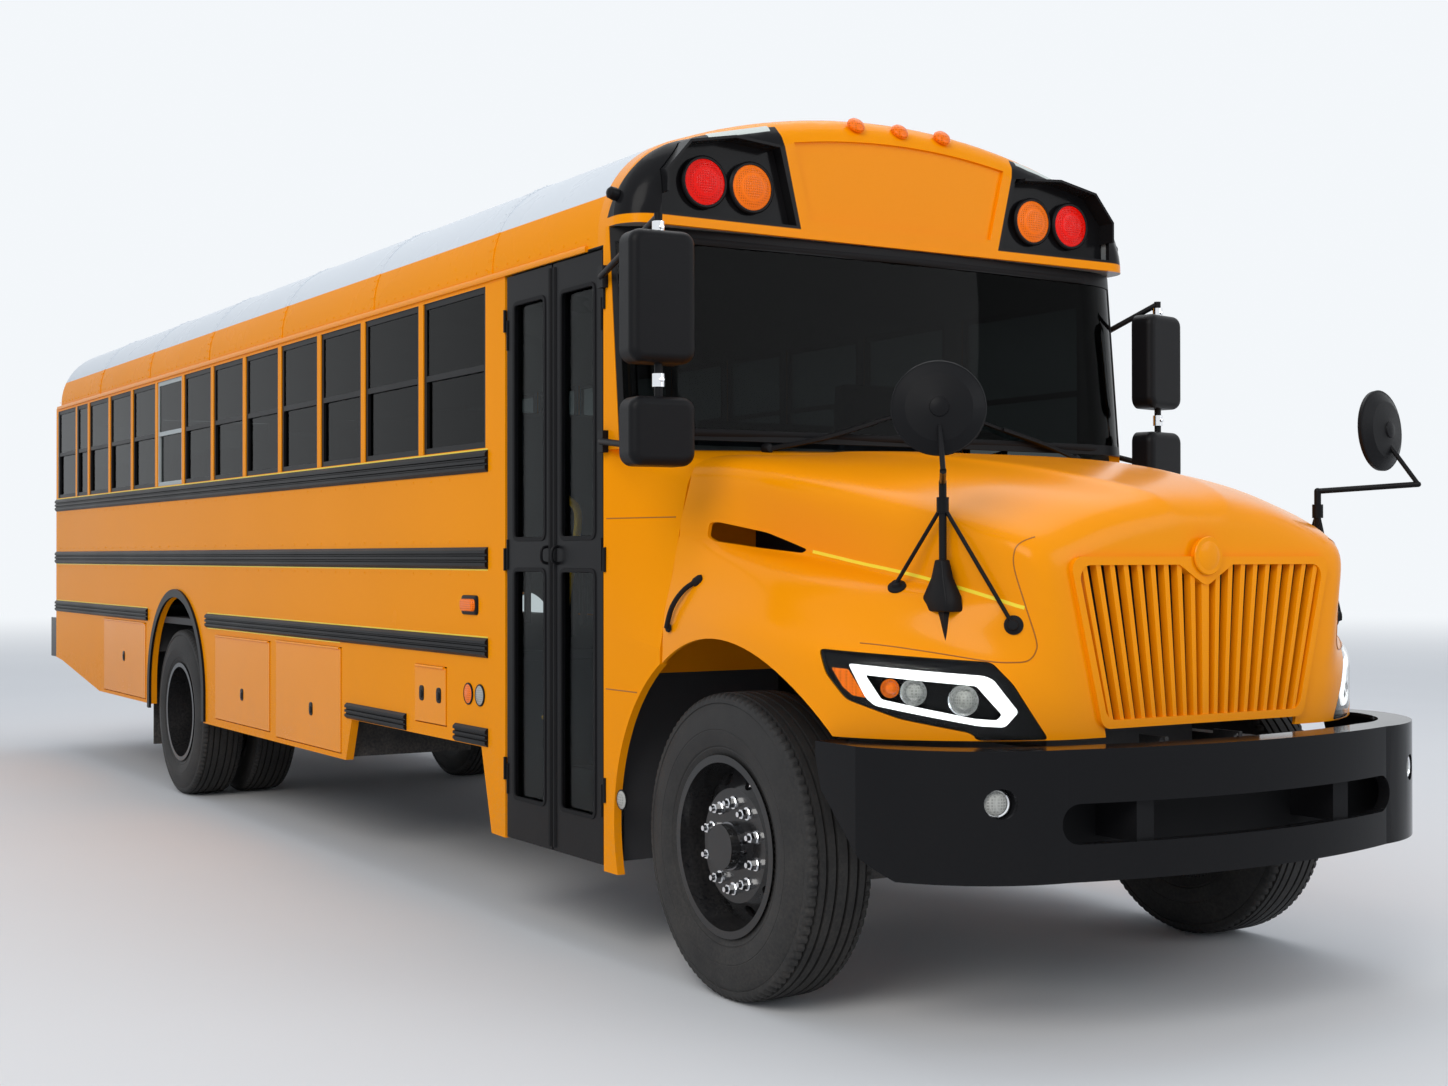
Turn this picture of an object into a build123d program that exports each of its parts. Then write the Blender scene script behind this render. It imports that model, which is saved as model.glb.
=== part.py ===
from build123d import *
from math import atan2, cos, pi, radians, sin, sqrt
import os

# Places along the bus are measured forward of the front axle, heights from the ground,
# and +Y is the driver's side. Everything is in millimetres.

# Whole bus
FRONT_REACH = 1250
REAR_REACH = 9930
BODY_WIDTH = 2438
WHEELBASE = 6380
EAVE_Z = 2610
ROOF_RISE = 540
ROOF_TOP_Z = EAVE_Z + ROOF_RISE
ROOF_SPRING_Z = EAVE_Z + 30
ROOF_CORNER_R = ROOF_RISE * 0.74
BODY_REAR_X = -9740
WALL = 38
ROOF_WALL = 36
FLOOR_TOP_Z = 1090
FLOOR_THICK = 40
HALF = BODY_WIDTH / 2

# Wheels and tyres
TYRE_R = 510
TYRE_WIDTH = 280
TYRE_BEAD_R = 292
RIM_FLANGE_R = 303
TWIN_SPACING = 335
FRONT_TYRE_FACE_Y = 1190
REAR_TYRE_FACE_Y = 1208
KINGPIN_Y = 880
KINGPIN_R = 26
TYRE_FLATS = 60
TYRE_SHOULDER = 42
HAND_HOLES = 10
HAND_HOLE_R = 22
HAND_HOLE_CIRCLE = 222

# Chassis
RAIL_Y = 430
RAIL_WIDTH = 76
RAIL_TOP_Z = 860
RAIL_DEPTH = 250
RAIL_WEB = 10
RAIL_FRONT_X = 960
RAIL_REAR_X = -9700
SPRING_WIDTH = 76
LEAF_THICK = 18

# Side panels: skirt heights, arches and window band
SKIRT_Z = 485
SKIRT_HIGH_Z = 687
REAR_ARCH_R = 585
REAR_ARCH_Z = 640
ARCH_TRIM = 45
FRONT_ARCH_R = 680
FRONT_ARCH_Z = 520
WINDOW_SILL_Z = 1920
WINDOW_HEAD_Z = EAVE_Z - 25
WINDOW_START_X = -1763
WINDOW_BAYS = [711] * 2 + [610] * 9 + [376] + [620]
WINDOW_POST = 52
SASH_BAR = 26
SASH_DEPTH = 24
SASH_INSET = 6
GLASS_THICK = 6

# Entrance door, on the kerb side
DOOR_REAR_X = -1585
DOOR_FRONT_X = -758
DOOR_SILL_Z = 340
DOOR_HEAD_Z = EAVE_Z - 10
DOOR_THICK = 40
DOOR_GAP = 6
STILE = 62
DOOR_MID_RAIL_Z = 1480

# Cowl, hood and nose
COWL_FRONT_X = -350
HOOD_SEAM = 8
HOOD_SKIN = 14
NOSE_X = 1010
HOOD_PIVOT_X = 1000
HOOD_PIVOT_Z = 890
HOOD_PIN_R = 10
PIN_CLEARANCE = 0.5
GRILLE_TOP_Z = 1444
GRILLE_BOTTOM_Z = 968
GRILLE_TOP_HALF = 545
GRILLE_BOTTOM_HALF = 425
GRILLE_BARS = 9
GRILLE_BAR = 20

# Bumpers
BUMPER_TOP_Z = 905
BUMPER_BOTTOM_Z = 515
BUMPER_SKIN = 45
REAR_BUMPER_Z = (700, 1000)

os.makedirs("parts", exist_ok=True)
SHIFT_X = (REAR_REACH - FRONT_REACH) / 2


def write(node, *solids):
    """Write one node, moved so that the bus stands centred on the origin."""
    shape = solids[0] if len(solids) == 1 else Compound(children=list(solids))
    export_step(Pos(SHIFT_X, 0, 0) * shape, f"parts/{node}.step")


def slab(x0, x1, y0, y1, z0, z1):
    """A block between two corners."""
    middle = Pos((x0 + x1) / 2, (y0 + y1) / 2, (z0 + z1) / 2)
    return middle * Box(abs(x1 - x0), abs(y1 - y0), abs(z1 - z0))


def outline(points):
    return make_face(Polyline(*points, close=True))


def box_face(x0, x1, z0, z1):
    return Pos((x0 + x1) / 2, (z0 + z1) / 2) * Rectangle(x1 - x0, z1 - z0)


def side_view(face, y0, y1):
    """A face drawn in (x, z), made a plate from y0 to y1."""
    plane = Plane(origin=(0, y1, 0), x_dir=(1, 0, 0), z_dir=(0, -1, 0))
    return extrude(plane * face, amount=y1 - y0)


def end_view(face, x0, x1):
    """A face drawn in (y, z), made a solid from x0 to x1."""
    plane = Plane(origin=(x0, 0, 0), x_dir=(0, 1, 0), z_dir=(1, 0, 0))
    return extrude(plane * face, amount=x1 - x0)


def plan_view(face, z0, z1):
    """A face drawn in (x, y), made a solid from z0 to z1."""
    return extrude(Plane.XY.offset(z0) * face, amount=z1 - z0)


def rod(start, end, radius):
    """A round bar between two points."""
    start, end = Vector(*start), Vector(*end)
    plane = Plane(origin=start, z_dir=end - start)
    return extrude(plane * Circle(radius), amount=(end - start).length)


def turned(profile, y_centre, x_centre, z_centre, side):
    """A profile of (radius, outward) points spun about the wheel's axle."""
    face = outline([(r, side * out) for r, out in profile])
    ring = revolve(Plane.XY * face, axis=Axis.Y)
    return Pos(x_centre, y_centre, z_centre) * ring


def mirrored(shape):
    return shape.mirror(Plane.XZ)


# Roof and body section
def end_plane(x):
    return Plane(origin=(x, 0, 0), x_dir=(0, 1, 0), z_dir=(1, 0, 0))


def body_section(inset, base_z, top_z, corner_r, spring_z):
    """The body's cross-section above the eave: arched crown, round shoulders, sides down to base_z."""
    top, corner, wide = top_z - inset, corner_r - inset, HALF - inset
    lift = 2 * atan2(top - spring_z - corner, wide - corner)
    turn = pi / 2 - lift
    crown_y = (wide - corner) + corner * cos(turn)
    crown_z = spring_z + corner * sin(turn)
    mid_y = (wide - corner) + corner * cos(turn / 2)
    mid_z = spring_z + corner * sin(turn / 2)
    lines = Line((-wide, base_z), (-wide, spring_z))
    lines += ThreePointArc((-wide, spring_z), (-mid_y, mid_z), (-crown_y, crown_z))
    lines += ThreePointArc((-crown_y, crown_z), (0, top), (crown_y, crown_z))
    lines += ThreePointArc((crown_y, crown_z), (mid_y, mid_z), (wide, spring_z))
    lines += Line((wide, spring_z), (wide, base_z))
    lines += Line((wide, base_z), (-wide, base_z))
    return make_face(lines)


ROOF_FRONT_X = -800
A_POST_X = -740
SCREEN_Z = (1880, EAVE_Z + 62)
ROOF_REAR_R = 220


def rounded_end(block, x1, radius):
    """A length of body with the edge round its far end at x1 rounded over."""
    rim = block.edges().filter_by_position(Axis.X, x1 - 1, x1 + 1)
    rim = [edge for edge in rim if edge.center().Z > EAVE_Z + 1 or abs(edge.center().Y) > HALF / 2]
    return fillet(rim, radius)


def roof_length(inset, base_z, rear_x, front_x):
    section = body_section(inset, base_z, ROOF_TOP_Z, ROOF_CORNER_R, ROOF_SPRING_Z)
    return rounded_end(end_view(section, rear_x, front_x), rear_x, ROOF_REAR_R - inset)


# Two emergency hatches in the roof, each a lid over a low kerb round its opening
ROOF_HATCHES_X = (-3400, -7400)
HATCH_OPENING = 560
HATCH_KERB = 24
HATCH_KERB_Z = ROOF_TOP_Z + 18
HATCH_LID = 660
HATCH_LID_THICK = 34
HATCH_LID_GAP = 6


def square_block(x, side, z0, z1, corner_r):
    return Pos(x, 0, z0) * extrude(RectangleRounded(side, side, corner_r), z1 - z0)


def roof():
    shell = roof_length(0, EAVE_Z, BODY_REAR_X, ROOF_FRONT_X)
    kerb_side = HATCH_OPENING + 2 * HATCH_KERB
    for x in ROOF_HATCHES_X:
        shell += square_block(x, kerb_side, ROOF_TOP_Z - 2 * ROOF_WALL, HATCH_KERB_Z, 60)
    shell -= roof_length(ROOF_WALL, EAVE_Z - 1, BODY_REAR_X + ROOF_WALL, ROOF_FRONT_X + 1)
    for x in ROOF_HATCHES_X:
        shell -= square_block(x, HATCH_OPENING, EAVE_Z, ROOF_TOP_Z + 100, 40)
    return shell


def roof_lid(x):
    low = HATCH_KERB_Z + HATCH_LID_GAP
    lid = square_block(x, HATCH_LID, low, low + HATCH_LID_THICK, 70)
    lid = chamfer(lid.faces().sort_by(Axis.Z)[-1].edges(), 14)
    hinge_x = x + HATCH_LID / 2
    for side in (-1, 1):
        lid += rod((hinge_x, side * 120, low + 8), (hinge_x, side * 220, low + 8), 8)
    return lid


write("roof_shell", roof())
for word, hatch_x in zip(("front", "rear"), ROOF_HATCHES_X):
    write(f"roof_hatch_{word}", roof_lid(hatch_x))

# Front cap over the windshield, a little taller than the roof, with two lamp recesses and a sunk panel
CAP_FRONT_X = -560
CAP_PROUD = 55
CAP_TOP_Z = ROOF_TOP_Z + CAP_PROUD
CAP_CORNER_R = ROOF_CORNER_R - 90
CAP_SPRING_Z = EAVE_Z + 90
CAP_R = 120
CAP_BACK = 40
LAMP_Z = EAVE_Z + 235
LAMP_R = 89
LAMPS_RED_Y = 890
LAMPS_AMBER_Y = 685
PANEL_RECESS = 60
PANEL_FIT = 3
PANEL_SHEET = 14
VISOR_SHEET = 10
VISOR_REACH = 34
VISOR_DROP = 60
# y and height over the lamps of each corner of a lamp recess, from its lower inner corner
RECESS_CORNERS = [(500, -129), (1085, -129), (1085, 25), (985, 140), (790, 177), (575, 161)]
# y and height over the lamps of the sunk middle panel's corners, on one side
MIDDLE_CORNERS = [(440, -100), (510, 185)]
MIDDLE_TOP = 227
MIDDLE_DEPTH = 14


def cap_volume():
    rear = end_plane(ROOF_FRONT_X) * body_section(0, EAVE_Z, ROOF_TOP_Z, ROOF_CORNER_R, ROOF_SPRING_Z)
    front = end_plane(CAP_FRONT_X) * body_section(0, EAVE_Z, CAP_TOP_Z, CAP_CORNER_R, CAP_SPRING_Z)
    return rounded_end(loft([rear, front], ruled=True), CAP_FRONT_X, CAP_R)


def recess_face(side, shrink):
    face = outline([(side * y, LAMP_Z + up) for y, up in RECESS_CORNERS])
    return offset(face, -shrink) if shrink else face


def front_cap():
    shell = cap_volume()
    back_x = CAP_FRONT_X - PANEL_RECESS
    section = body_section(ROOF_WALL, EAVE_Z - 1, ROOF_TOP_Z, ROOF_CORNER_R, ROOF_SPRING_Z)
    shell -= rounded_end(end_view(section, ROOF_FRONT_X - 1, back_x - CAP_BACK), back_x - CAP_BACK, CAP_R)
    shell -= slab(A_POST_X, 0, -HALF - 1, HALF + 1, EAVE_Z - 10, SCREEN_Z[1])
    (low_y, low_z), (high_y, high_z) = [(y, LAMP_Z + up) for y, up in MIDDLE_CORNERS]
    middle = Line((-low_y, low_z), (low_y, low_z)) + Line((low_y, low_z), (high_y, high_z))
    middle += ThreePointArc((high_y, high_z), (0, LAMP_Z + MIDDLE_TOP), (-high_y, high_z))
    middle += Line((-high_y, high_z), (-low_y, low_z))
    shell -= end_view(make_face(middle), CAP_FRONT_X - MIDDLE_DEPTH, CAP_FRONT_X + 1)
    for side in (-1, 1):
        shell -= end_view(recess_face(side, 0), back_x, CAP_FRONT_X + 1)
    return shell


write("front_cap", front_cap())


def lamp_panel(side):
    """The black pan in a recess, with a visor that follows its top and outer edge."""
    back_x = CAP_FRONT_X - PANEL_RECESS
    pan = end_view(recess_face(side, PANEL_FIT), back_x, back_x + PANEL_SHEET)
    visor = recess_face(side, PANEL_FIT) - recess_face(side, PANEL_FIT + VISOR_SHEET)
    visor -= box_face(*sorted((side * 300, side * HALF)), EAVE_Z, LAMP_Z - VISOR_DROP)
    visor -= box_face(*sorted((side * 300, side * (LAMPS_AMBER_Y - LAMP_R))), EAVE_Z, CAP_TOP_Z)
    return pan + end_view(visor, back_x, CAP_FRONT_X + VISOR_REACH)


write("lamp_panels_front", lamp_panel(-1), lamp_panel(1))


def round_lamp(x, y, z, radius, depth, direction=1):
    """A lens with a domed face, looking along X."""
    face = outline([(0, 0), (0, radius), (depth * 0.6, radius), (depth, radius * 0.5), (depth, 0)])
    lens = revolve(Plane.XY * face, axis=Axis.X)
    if direction < 0:
        lens = lens.mirror(Plane.YZ)
    return Pos(x, y, z) * lens


LAMP_BACK_X = CAP_FRONT_X - PANEL_RECESS + PANEL_SHEET
red_lamps = [round_lamp(LAMP_BACK_X, s * LAMPS_RED_Y, LAMP_Z, LAMP_R, 45) for s in (-1, 1)]
amber_lamps = [round_lamp(LAMP_BACK_X, s * LAMPS_AMBER_Y, LAMP_Z, LAMP_R, 45) for s in (-1, 1)]


# Side walls
def bays():
    """(rear x, front x) of each passenger window bay, from the front."""
    found, front = [], WINDOW_START_X
    for length in WINDOW_BAYS:
        found.append((front - length, front))
        front -= length
    return found


# name, rear x, front x, bottom z, top z, sides
HATCHES = [("luggage_door_front", -4456, -3469, 509, 1029, -1),
           ("luggage_door_middle", -5551, -4556, 527, 1017, -1),
           ("luggage_door_rear", -8195, -7087, 541, 1041, -1),
           ("battery_door", -2539, -2186, 739, 996, -1)]
DRIVER_WINDOW = (-1660, -850, 1780, WINDOW_HEAD_Z)
WALL_REAR_X = BODY_REAR_X + 40
REAR_AXLE_X = -WHEELBASE
WALL_FRONT_RIGHT = DOOR_REAR_X - 15
WALL_FRONT_LEFT = DOOR_FRONT_X


def arch_face(radius):
    """A wheel arch opening: a half circle on straight sides that run below the skirt."""
    legs = box_face(REAR_AXLE_X - radius, REAR_AXLE_X + radius, 0, REAR_ARCH_Z)
    return legs + Pos(REAR_AXLE_X, REAR_ARCH_Z) * Circle(radius)


def wall_outline(side):
    rear = [(-8340, 520), (-9500, 683), (WALL_REAR_X, 700), (WALL_REAR_X, EAVE_Z)]
    if side < 0:
        front = [(WALL_FRONT_RIGHT, EAVE_Z), (WALL_FRONT_RIGHT, 339), (-1730, 342), (-1830, 686),
                 (-3330, SKIRT_HIGH_Z), (-3410, SKIRT_Z), (REAR_AXLE_X, SKIRT_Z)]
    else:
        front = [(WALL_FRONT_LEFT, EAVE_Z), (WALL_FRONT_LEFT, 340), (-1100, 340), (-1180, SKIRT_Z),
                 (REAR_AXLE_X, SKIRT_Z)]
    return outline(front + [(REAR_AXLE_X, 520)] + rear)


def side_wall(side):
    face = wall_outline(side) - arch_face(REAR_ARCH_R)
    post = WINDOW_POST / 2
    for rear, front in bays():
        face -= box_face(rear + post, front - post, WINDOW_SILL_Z, WINDOW_HEAD_Z)
    if side > 0:
        face -= box_face(*DRIVER_WINDOW)
    for _, rear, front, low, high, hatch_side in HATCHES:
        if hatch_side == side:
            face -= box_face(rear, front, low, high)
    inner, outer = side * (HALF - WALL), side * HALF
    return side_view(face, min(inner, outer), max(inner, outer))


write("side_wall_right", side_wall(-1))
write("side_wall_left", side_wall(1))


def sash(rear, front, low, high, side):
    """A black split-sash frame that fills a window opening, its lower pane set inwards."""
    whole = box_face(rear, front, low, high)
    middle = (low + high) / 2
    upper = box_face(rear + SASH_BAR, front - SASH_BAR, middle + SASH_BAR / 2, high - SASH_BAR)
    lower = box_face(rear + SASH_BAR, front - SASH_BAR, low + SASH_BAR, middle - SASH_BAR / 2)
    outer = side * (HALF - SASH_INSET)
    inner = side * (HALF - SASH_INSET - SASH_DEPTH)
    return side_view(whole - upper - lower, min(inner, outer), max(inner, outer))


def panes(rear, front, low, high, side):
    middle = (low + high) / 2
    found = []
    upper = (middle + SASH_BAR / 2, high - SASH_BAR, SASH_DEPTH / 2)
    lower = (low + SASH_BAR, middle - SASH_BAR / 2, SASH_DEPTH * 5 / 6)
    for z0, z1, depth in (upper, lower):
        face = box_face(rear + SASH_BAR, front - SASH_BAR, z0, z1)
        far = HALF - SASH_INSET - depth
        found.append(side_view(face, *sorted((side * far, side * (far + GLASS_THICK)))))
    return found


BAY_OPENINGS = [(rear + WINDOW_POST / 2, front - WINDOW_POST / 2, WINDOW_SILL_Z, WINDOW_HEAD_Z)
                for rear, front in bays()]
WALL_OPENINGS = [(opening, side) for side in (-1, 1) for opening in BAY_OPENINGS] + [(DRIVER_WINDOW, 1)]
black_frames = [sash(*opening, side) for opening, side in WALL_OPENINGS]
clear_panes = [pane for opening, side in WALL_OPENINGS for pane in panes(*opening, side)]

# Rub rails: black ribbed strips on the outside of the walls
RAIL_PROUD = 16
# rear x, front x, bottom z, top z
RUB_RAILS = {-1: [(WALL_REAR_X, WINDOW_START_X, 1820, 1910), (WALL_REAR_X, WINDOW_START_X, 1420, 1510),
                  (-5785 + 60, WINDOW_START_X, 1055, 1135), (WALL_REAR_X, -7040, 1055, 1135),
                  (-3390, -2640, 690, 765), (-2090, WINDOW_START_X, 690, 765)],
             1: [(WALL_REAR_X, -1763, 1820, 1910), (WALL_REAR_X, -800, 1420, 1510),
                 (-5725, -800, 1055, 1135), (WALL_REAR_X, -7040, 1055, 1135)]}


def rub_rail(rear, front, low, high, side):
    """A strip with two long grooves, its ends cut back."""
    step = (high - low) / 7
    crest, groove = RAIL_PROUD, RAIL_PROUD * 0.45
    profile = [(0, 0), (0.3 * crest, 0), (crest, step), (crest, 2 * step), (groove, 2.3 * step),
               (groove, 2.7 * step), (crest, 3 * step), (crest, 4 * step), (groove, 4.3 * step),
               (groove, 4.7 * step), (crest, 5 * step), (crest, 6 * step), (0.3 * crest, 7 * step),
               (0, 7 * step)]
    return end_view(outline([(side * (HALF + out), low + up) for out, up in profile]), rear, front)


black_trim = [rub_rail(*rail, side) for side in (-1, 1) for rail in RUB_RAILS[side]]

# Rear arch trims
def arch_trim(side):
    face = arch_face(REAR_ARCH_R + ARCH_TRIM) - arch_face(REAR_ARCH_R - 4)
    face -= box_face(REAR_AXLE_X - 900, REAR_AXLE_X + 900, -10, SKIRT_Z + 10)
    inner, outer = side * HALF, side * (HALF + 14)
    return side_view(face, min(inner, outer), max(inner, outer))


black_trim += [arch_trim(-1), arch_trim(1)]


# Hatches in the skirt, hinged along their top edges
HATCH_PIN_R = 6


def hatch(rear, front, low, high, side):
    face = box_face(rear + DOOR_GAP, front - DOOR_GAP, low + DOOR_GAP, high - DOOR_GAP)
    inner, outer = side * (HALF - 22), side * (HALF + 4)
    panel = side_view(face, min(inner, outer), max(inner, outer))
    pin_y, pin_z = side * (HALF + HATCH_PIN_R), high - DOOR_GAP
    return panel + rod((rear + 20, pin_y, pin_z), (front - 20, pin_y, pin_z), HATCH_PIN_R)


for name, rear, front, low, high, side in HATCHES:
    write(name, hatch(rear, front, low, high, side))


LOCKER_SHEET = 15
LOCKER_FIT = 1
LOCKER_DEPTH = 640
BATTERY_TRAY_Z = (722, 745)
BATTERY_TOP_Z = 960


def locker(rear, front, low, high, side):
    """An open-fronted sheet box behind a luggage door."""
    mouth, back = side * (HALF - WALL), side * (HALF - WALL - LOCKER_DEPTH)
    top = min(high + LOCKER_SHEET, FLOOR_TOP_Z - FLOOR_THICK - LOCKER_FIT)
    box = slab(rear - LOCKER_SHEET, front + LOCKER_SHEET, mouth, back, low - LOCKER_SHEET, top)
    return box - slab(rear, front, mouth + side, back + side * LOCKER_SHEET, low, high)


boxes = [locker(*hatch) for name, *hatch in HATCHES if "luggage" in name]
_, battery_rear, battery_front, _, _, _ = HATCHES[-1]
tray = slab(battery_rear - 20, battery_front + 20, -HALF + WALL, -RAIL_Y - RAIL_WIDTH / 2, *BATTERY_TRAY_Z)
boxes.append(tray + slab(battery_rear + 20, battery_front - 20, -HALF + WALL + 30, -HALF + WALL + 470,
                         BATTERY_TRAY_Z[1], BATTERY_TOP_Z))
write("underfloor_boxes", *boxes)

# Floor, with the cut-out over the entrance steps
STEP_RUN = 220
STEP_COUNT = 3
STEP_OUTER_Y = -HALF + DOOR_THICK + 25
STEP_INNER_Y = STEP_OUTER_Y + STEP_COUNT * STEP_RUN
FLOOR_FRONT_X = -620
FLOOR_REAR_X = WALL_REAR_X


SILL_HALF = 30
SILLS_X = [-1720, -2620, -3400, -5650, -6960, -8300, -9300]


def floor():
    plate = box_face(FLOOR_REAR_X, FLOOR_FRONT_X, -(HALF - WALL), HALF - WALL)
    plate -= box_face(DOOR_REAR_X, DOOR_FRONT_X + 40, -HALF, STEP_INNER_Y)
    return plan_view(plate, FLOOR_TOP_Z - FLOOR_THICK, FLOOR_TOP_Z)


write("floor", floor())
write("floor_sills", *[slab(x - SILL_HALF, x + SILL_HALF, -(HALF - WALL), HALF - WALL, RAIL_TOP_Z,
                            FLOOR_TOP_Z - FLOOR_THICK) for x in SILLS_X])

# Entrance steps: treads and risers of sheet, in a well with closed ends
STEP_SHEET = 14
STEP_BOTTOM_Z = 375
STEP_RISE = (FLOOR_TOP_Z - STEP_BOTTOM_Z) / STEP_COUNT


def step_well():
    flight = None
    y, z = STEP_OUTER_Y, STEP_BOTTOM_Z
    x0, x1 = DOOR_REAR_X + 4, DOOR_FRONT_X + 36
    for step in range(STEP_COUNT):
        tread = slab(x0, x1, y, y + STEP_RUN + STEP_SHEET, z - STEP_SHEET, z)
        top = z + STEP_RISE - (FLOOR_THICK if step == STEP_COUNT - 1 else 0)
        riser = slab(x0, x1, y + STEP_RUN, y + STEP_RUN + STEP_SHEET, z - STEP_SHEET, top)
        flight = tread + riser if flight is None else flight + tread + riser
        y += STEP_RUN
        z += STEP_RISE
    low, high = STEP_BOTTOM_Z - STEP_SHEET, FLOOR_TOP_Z - FLOOR_THICK
    cheek = [(STEP_OUTER_Y, low), (STEP_OUTER_Y + STEP_RUN + STEP_SHEET, low),
             (y + STEP_SHEET, z - STEP_RISE - STEP_SHEET), (y + STEP_SHEET, high), (STEP_OUTER_Y, high)]
    flight += end_view(outline(cheek), x0, x0 + STEP_SHEET)
    flight += end_view(outline(cheek), x1 - STEP_SHEET, x1)
    return flight


write("entrance_steps", step_well())

# Rear wall and emergency door
REAR_DOOR_HALF = 460
REAR_DOOR_Z = (1060, EAVE_Z - 50)
REAR_WINDOW_Y = (560, 1060)
REAR_WINDOW_Z = (1960, EAVE_Z - 110)
REAR_GLASS_X = BODY_REAR_X + 12
TAIL_LAMP_R = 70
REAR_PIN_R = 10
REAR_PIN_OUT = 8


def rear_wall():
    face = box_face(-HALF + WALL, HALF - WALL, RAIL_TOP_Z, EAVE_Z)
    face -= box_face(-REAR_DOOR_HALF, REAR_DOOR_HALF, *REAR_DOOR_Z)
    for side in (-1, 1):
        face -= box_face(*sorted((side * y for y in REAR_WINDOW_Y)), *REAR_WINDOW_Z)
    return end_view(face, BODY_REAR_X, BODY_REAR_X + 40)


def rear_corner(side):
    """The upright that joins the side wall to the rear wall, its outer edge rounded."""
    post = slab(BODY_REAR_X, WALL_REAR_X, *sorted((side * (HALF - WALL), side * HALF)), 700, EAVE_Z)
    edge = [e for e in post.edges().filter_by(Axis.Z)
            if e.center().X < BODY_REAR_X + 1 and abs(e.center().Y) > HALF - 1]
    return fillet(edge, 30)


write("rear_wall", rear_wall() + rear_corner(-1) + rear_corner(1))
for side in (-1, 1):
    face = box_face(*sorted((side * y for y in REAR_WINDOW_Y)), *REAR_WINDOW_Z)
    clear_panes.append(end_view(face, REAR_GLASS_X, REAR_GLASS_X + GLASS_THICK))
REAR_DOOR_PANE = (-360, 360, 1900, REAR_WINDOW_Z[1])
REAR_DOOR_LOW_PANE = (-330, 330, 1250, 1600)


def rear_door():
    face = box_face(-REAR_DOOR_HALF + DOOR_GAP, REAR_DOOR_HALF - DOOR_GAP,
                    REAR_DOOR_Z[0] + DOOR_GAP, REAR_DOOR_Z[1] - DOOR_GAP)
    face -= box_face(*REAR_DOOR_PANE)
    face -= box_face(*REAR_DOOR_LOW_PANE)
    panel = end_view(face, BODY_REAR_X, BODY_REAR_X + 34)
    pin_x, pin_y = BODY_REAR_X - REAR_PIN_OUT, -REAR_DOOR_HALF + 16
    for z in (REAR_DOOR_Z[0] + 190, REAR_DOOR_Z[0] + 750, REAR_DOOR_Z[1] - 160):
        panel += rod((pin_x, pin_y, z), (pin_x, pin_y, z + 90), REAR_PIN_R)
    return panel


write("emergency_door", rear_door())
write("emergency_door_glass",
      *[end_view(box_face(a + 1, b - 1, c + 1, d - 1), REAR_GLASS_X + 2, REAR_GLASS_X + 2 + GLASS_THICK)
        for a, b, c, d in (REAR_DOOR_PANE, REAR_DOOR_LOW_PANE)])


def tail_lamps():
    """Stop and tail lamps, turn signals and the four warning lamps over the rear windows."""
    lamps = {"red": [], "amber": []}
    # colour, y, z, radius
    places = [("red", 1000, 1330, TAIL_LAMP_R), ("amber", 1000, 1150, TAIL_LAMP_R), ("red", 800, 1640, LAMP_R),
              ("red", 900, EAVE_Z + 110, LAMP_R), ("amber", 690, EAVE_Z + 110, LAMP_R)]
    for colour, y, z, radius in places:
        for side in (-1, 1):
            lamps[colour].append(round_lamp(BODY_REAR_X - 0.3, side * y, z, radius, 34, -1))
    return lamps


write("red_lamps", *red_lamps, *tail_lamps()["red"])
write("amber_lamps", *amber_lamps, *tail_lamps()["amber"])

# Windshield: a band that is curved in plan and leans back
SCREEN_X = -500
SCREEN_LEAN = -75
SCREEN_EDGE_X = -640
SCREEN_BAND = 26


def screen_band(offset, thick, z0, z1, back_x=SCREEN_EDGE_X):
    """Part of the windshield's curved band, offset inwards from the outer face."""
    def half_curve(inset):
        y = HALF - inset
        return [(back_x, y), (-636, y), (-580 - inset * 0.4, y - 78), (-540 - inset, y - 240)]

    def loop(inset, sign):
        a, b, c, d = [(x, sign * y) for x, y in half_curve(inset)]
        return Line(a, b) + ThreePointArc(b, c, d)

    def face_for(inset):
        end = half_curve(inset)[-1]
        lines = loop(inset, 1) + loop(inset, -1)
        lines += ThreePointArc((end[0], end[1]), (SCREEN_X - inset, 0), (end[0], -end[1]))
        lines += Line((back_x, HALF - inset), (back_x, -HALF + inset))
        return make_face(lines)

    band = face_for(offset) - face_for(offset + thick)
    lean = SCREEN_LEAN / (SCREEN_Z[1] - SCREEN_Z[0])
    start = Pos(lean * (z0 - SCREEN_Z[0]), 0, z0) * band
    return extrude(start, amount=(z1 - z0) * sqrt(1 + lean * lean), dir=(lean, 0, 1))


GLASS_Z = (SCREEN_Z[0] + 55, SCREEN_Z[1] - 57)
GLASS_EDGE = 14


def windshield_opening(grow):
    """The space that the glass fills: everything ahead of a plane that leans with the band."""
    lean = SCREEN_LEAN / (SCREEN_Z[1] - SCREEN_Z[0])
    low, high = GLASS_Z[0] - grow, GLASS_Z[1] + grow
    back = SCREEN_EDGE_X + GLASS_EDGE - grow
    points = [(back + lean * (low - SCREEN_Z[0]), low), (0, low), (0, high),
              (back + lean * (high - SCREEN_Z[0]), high)]
    return side_view(outline(points), -2000, 2000)


black_frames.append(screen_band(2, SCREEN_BAND, SCREEN_Z[0] + 14, SCREEN_Z[1] - 4) - windshield_opening(0))
clear_panes.append(screen_band(8, 10, *GLASS_Z) & windshield_opening(0))
write("window_frames", *black_frames)
write("window_glass", *clear_panes)

# Cowl: the body's shoulders between the entrance door and the hood, open to cabin and engine
COWL_SKIN = 30
FIREWALL_X = -600
FIREWALL_THICK = 12
A_POST_DEPTH = 60
COWL_BOTTOM_Z = 325


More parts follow.
